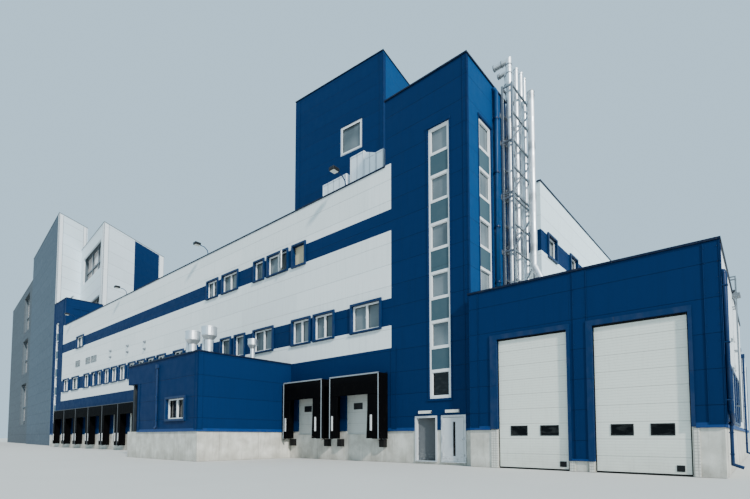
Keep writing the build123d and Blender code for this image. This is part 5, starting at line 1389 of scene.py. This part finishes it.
@dataclass
class RoofPlant:
    """Posts, rails and doors of the air units, and small things on the other roofs."""

    # Left, right, foot and top of every air unit
    units: Tuple[Four, ...] = ((-10.95, -8.85, 15.30, 17.30), (-8.55, -7.45, 15.10, 18.15),
                               (-7.44, -6.56, 15.10, 17.65), (-6.55, -5.95, 15.10, 17.65))
    front: float = 1.20
    post: float = 0.06
    # Left side, width, foot and top of the roof tower's window
    window: Four = (2.09, 2.33, 24.86, 27.38)
    lamps: Tuple[float, ...] = (-7.85, -22.95, -38.64, -54.06)
    # Place, radius of the pipe and the drum, height of the lower band and top of every ventilator
    vents: Tuple[Tuple[float, ...], ...] = ((-14.80, -5.25, 0.22, 0.41, 6.88, 7.30),
                                            (-13.55, -4.95, 0.22, 0.42, 7.00, 7.42),
                                            (-13.70, -2.00, 0.13, 0.28, 6.94, 7.24))
    vent_foot: float = 5.90
    motor: Pair = (-15.5, -5.2)

    def air_units(self) -> None:
        """Corner posts, rails and doors of the units, and the rail on the left stair tower."""
        work = Workpiece()
        face = facing_street(self.front)
        for x0, x1, foot, top in self.units:
            for x in (x0, x1 - self.post):
                work.block(face, (x, x + self.post), (0.0, 0.02), (foot, top - 0.02))
            for z in ((foot, foot + 0.08), (top - 0.10, top - 0.02)):
                work.block(face, (x0, x1), (0.0, 0.025), z)
            door = (foot + 0.2, foot + (top - foot) * 0.55)
            work.block(face, (x0 + 0.12, x1 - 0.12), (0.0, 0.012), door, 0.004)
        rail_behind, roof, rail = 0.9, 18.5, (19.60, 19.72)
        for x in (-58.95, -58.05):
            work.block(facing_street(rail_behind, x), (-0.04, 0.04), (-0.04, 0.04), (roof, roof + 1.1))
        work.block(facing_street(rail_behind, -58.5), (-0.55, 0.55), (-0.09, 0.09), rail, 0.01)
        work.done("air_unit_panels", DUCT_SHEET, "galvanised_steel")

    def tower_window(self) -> None:
        """The white sash of the window in the roof tower."""
        sash = Workpiece()
        left, wide, low, top = self.window
        inset, bar = 0.10, 0.14
        sash.frame(ROOF_STREET, (left + inset, left + wide - inset), (-0.065, -0.03),
                   (low + inset, top - inset), bar, 0.01)
        sash.done("roof_tower_sash", VINYL, "white_frame")

    def floodlights(self) -> None:
        """Housings and lenses of the floodlights on the front parapet."""
        heads, lenses = Workpiece(), Workpiece()
        for x in self.lamps:
            heads.block(STREET, (x - 0.20, x + 0.20), (0.60, 1.08), (HALL_TOP + 0.49, HALL_TOP + 0.70), 0.03)
            lenses.block(STREET, (x - 0.16, x + 0.16), (0.66, 1.02), (HALL_TOP + 0.475, HALL_TOP + 0.495))
        heads.done("floodlight_heads", DARK_PLASTIC_AND_SHADE, "black_rubber")
        lenses.done("floodlight_lenses", LENS, "lamp_lens")

    def ventilators(self) -> None:
        """Bands of the ventilators on the front annex, dark discs of painted shade in their throats, and the
        motor beside them.
        """
        bands, throats, motor = Workpiece(), Workpiece(), Workpiece()
        for x, y, pipe, drum, band, top in self.vents:
            rings = ((top - 0.03, drum + 0.012), (band, drum + 0.008), (self.vent_foot, pipe + 0.025))
            for z, radius in rings:
                bands.disc(x, y, (z - 0.02, z + 0.02), radius, 32)
            # Painted shade: a dark disc inside the top of each drum.
            throats.disc(x, y, (top - 0.05, top - 0.02), drum - 0.07, 32)
        bands.done("ventilator_bands", STAINLESS, "bright_steel")
        throats.done("ventilator_mouths_painted_shade", DARK_PLASTIC_AND_SHADE, "black_rubber")
        (x, y), half, axis = self.motor, 0.16, 6.0
        motor.rod([at(x + step, y, axis) for step in (-0.25, -0.20, 0.20, 0.25)], half, 20)
        motor.block(facing_street(y, x), (-half, half), (-half, half), (5.45, 5.88), 0.02)
        motor.done("roof_motor", ENAMEL, "blue_trim")

    def build(self) -> None:
        """Build what stands on the roofs."""
        self.air_units()
        self.tower_window()
        self.floodlights()
        self.ventilators()


@dataclass
class YardSide:
    """Covers, lamps, a pipe and a landing on the vehicle annex's side, and the clamps of its pipes."""

    window: Pair = (1.90, 3.70)
    past: float = 0.15
    first: float = 0.85
    pitch: float = 1.80
    count: int = 5
    lamp_levels: Pair = (5.10, 3.95)
    lamp: float = 4.6
    # Points of the upper rain pipe: along, out and up
    pipe: Tuple[Point, ...] = (
        (-0.33, 0.0, 6.50), (-0.33, 0.07, 6.48), (-0.33, 0.10, 6.40), (-0.33, 0.10, 2.10),
        (-0.10, 0.13, 1.98), (0.42, 0.12, 1.78), (0.60, 0.08, 1.72), (0.62, 0.07, 1.66))
    # Wall, middle, half width, reach and heights of the pipe clamps
    clamps: Tuple[Tuple[Face, float, float, float, Tuple[float, ...]], ...] = (
        (ANNEX_YARD, -0.33, 0.09, 0.182, (2.4, 4.2, 6.0)), (ANNEX_YARD, 0.62, 0.07, 0.132, (0.7, 1.4)),
        (ANNEX_YARD, 15.70, 0.07, 0.132, (0.9, 3.0, 5.0)),
        (OFFICE_STREET, -17.05, 0.07, 0.132, (2.2, 3.6, 4.8)))

    def covers(self) -> None:
        """Blue covers over the mullions, the head and the sill of the window row."""
        work = Workpiece()
        low, top = self.window[0] - self.past, self.window[1] + self.past
        start = self.first - self.pitch / 2
        for i in range(self.count + 1):
            y = start + self.pitch * i
            work.block(ANNEX_YARD, (y - 0.20, y + 0.20), (0.0, 0.05), (low, top), ROUND)
        row = (start, start + self.pitch * self.count)
        for z in (low, top - 0.10):
            work.block(ANNEX_YARD, row, (0.0, 0.06), (z, z + 0.10), ROUND)
        work.done("annex_window_covers", TRIM, "blue_trim")

    def wall_lamps(self) -> None:
        """Two lamps on short arms."""
        work = Workpiece()
        y = self.lamp
        for z in self.lamp_levels:
            work.block(ANNEX_YARD, (y - 0.05, y + 0.05), (0.0, 0.05), (z - 0.08, z + 0.08), 0.01)
            arm = ((0.04, 0.0), (0.07, 0.02), (0.09, 0.02))
            work.rod([ANNEX_YARD.point(y, out, z + up) for out, up in arm], 0.02)
            work.block(ANNEX_YARD, (y - 0.16, y + 0.16), (0.07, 0.125), (z - 0.10, z + 0.14), 0.015)
        work.done("annex_wall_lamps", GALVANISED, "galvanised_steel")

    def build(self) -> None:
        """Covers, lamps, the upper rain pipe, the ladder's landing and pipe clamps."""
        self.covers()
        self.wall_lamps()
        upper, landing, clamps = Workpiece(), Workpiece(), Workpiece()
        upper.rod([ANNEX_YARD.point(*place) for place in self.pipe], 0.075, 16)
        upper.done("annex_upper_pipe", TRIM, "blue_trim", smooth=True)
        (left, right), floor = (6.72, 7.30), 7.42
        landing.block(ANNEX_YARD, (left, right), (0.0, 0.30), (floor - 0.06, floor), ROUND)
        for y in (left, right - 0.04):
            landing.block(ANNEX_YARD, (y, y + 0.04), (0.0, 0.29), (floor, floor + 0.08))
        landing.done("ladder_landing", MAST_STEEL, "galvanised_steel")
        for face, middle, half, reach, levels in self.clamps:
            for z in levels:
                clamps.block(face, (middle - half, middle + half), (0.0, reach), (z, z + 0.04), ROUND)
        clamps.done("rain_pipe_clamps", TRIM, "blue_trim")


@dataclass
class Studio:
    """Floor, lights and camera."""

    # The photograph's width and focal length in pixels, and the camera's film width in millimetres
    image_wide: float = 750
    focal: float = 456.5
    film: float = 36
    shift: float = 0.2160
    place: Point = (0.9950, -1.8323, 0.1270)
    pitch: float = 93.2
    heading: float = 40.51
    far: float = 200
    floor_half: float = 60
    floor_drop: float = 0.001
    sun_strength: float = 4.4
    sun_angle: float = 4.0
    sun_colour: Point = (1.0, 0.985, 0.955)
    sun_from: Point = (0.82, -0.29, 0.50)
    sky_colour: str = "#bfe0f5"
    sky_strength: float = 1.15

    def camera(self) -> None:
        """The camera at the photograph's angle."""
        data = bpy.data.cameras.new("camera")
        data.lens = self.film * self.focal / self.image_wide
        data.shift_y = self.shift
        data.clip_end = self.far
        piece = bpy.data.objects.new("camera", data)
        piece.location = self.place
        piece.rotation_euler = (math.radians(self.pitch), 0, math.radians(self.heading))
        bpy.context.scene.collection.objects.link(piece)
        bpy.context.scene.camera = piece

    def floor(self) -> None:
        """A plain pale floor under the building."""
        half = self.floor_half
        data = bpy.data.meshes.new("floor")
        corners = [(-half, -half, 0), (half, -half, 0), (half, half, 0), (-half, half, 0)]
        data.from_pydata(corners, [], [(0, 1, 2, 3)])
        s = Sketch("studio_floor", 0.8)
        cloud = s.noise((4.0, 4.0, 4.0), 2.0)
        data.materials.append(s.paint(s.mix(cloud, "#cfccc5", "#d6d3cc")))
        piece = bpy.data.objects.new("floor", data)
        piece.location = (0, 0, -self.floor_drop)
        bpy.context.scene.collection.objects.link(piece)

    def lights(self) -> None:
        """A soft key from the upper right and pale light all round."""
        data = bpy.data.lights.new("key", "SUN")
        data.energy = self.sun_strength
        data.angle = math.radians(self.sun_angle)
        data.color = self.sun_colour
        piece = bpy.data.objects.new("key", data)
        piece.rotation_euler = Vector(self.sun_from).to_track_quat("Z", "Y").to_euler()
        bpy.context.scene.collection.objects.link(piece)
        world = bpy.data.worlds.new("studio")
        world.use_nodes = True
        feed(world.node_tree.nodes["Background"], {0: self.sky_colour, 1: self.sky_strength})
        bpy.context.scene.world = world

    def build(self) -> None:
        """Set up the studio."""
        self.camera()
        self.floor()
        self.lights()


def main() -> None:
    """Dress the model, add the small pieces and set up the studio."""
    logging.basicConfig(level=logging.INFO, format="%(name)s: %(message)s")
    assemblies = (Studio, CarriedNodes, Flashings, StairWindows, HallWindows, WallVents, SectionalDoors,
                  PersonnelDoors, DockShelters, FlueStack, RoofPlant, YardSide)
    for assembly in assemblies:
        LOG.info("building %s", assembly.__name__)
        assembly().build()


if __name__ == "__main__":
    main()
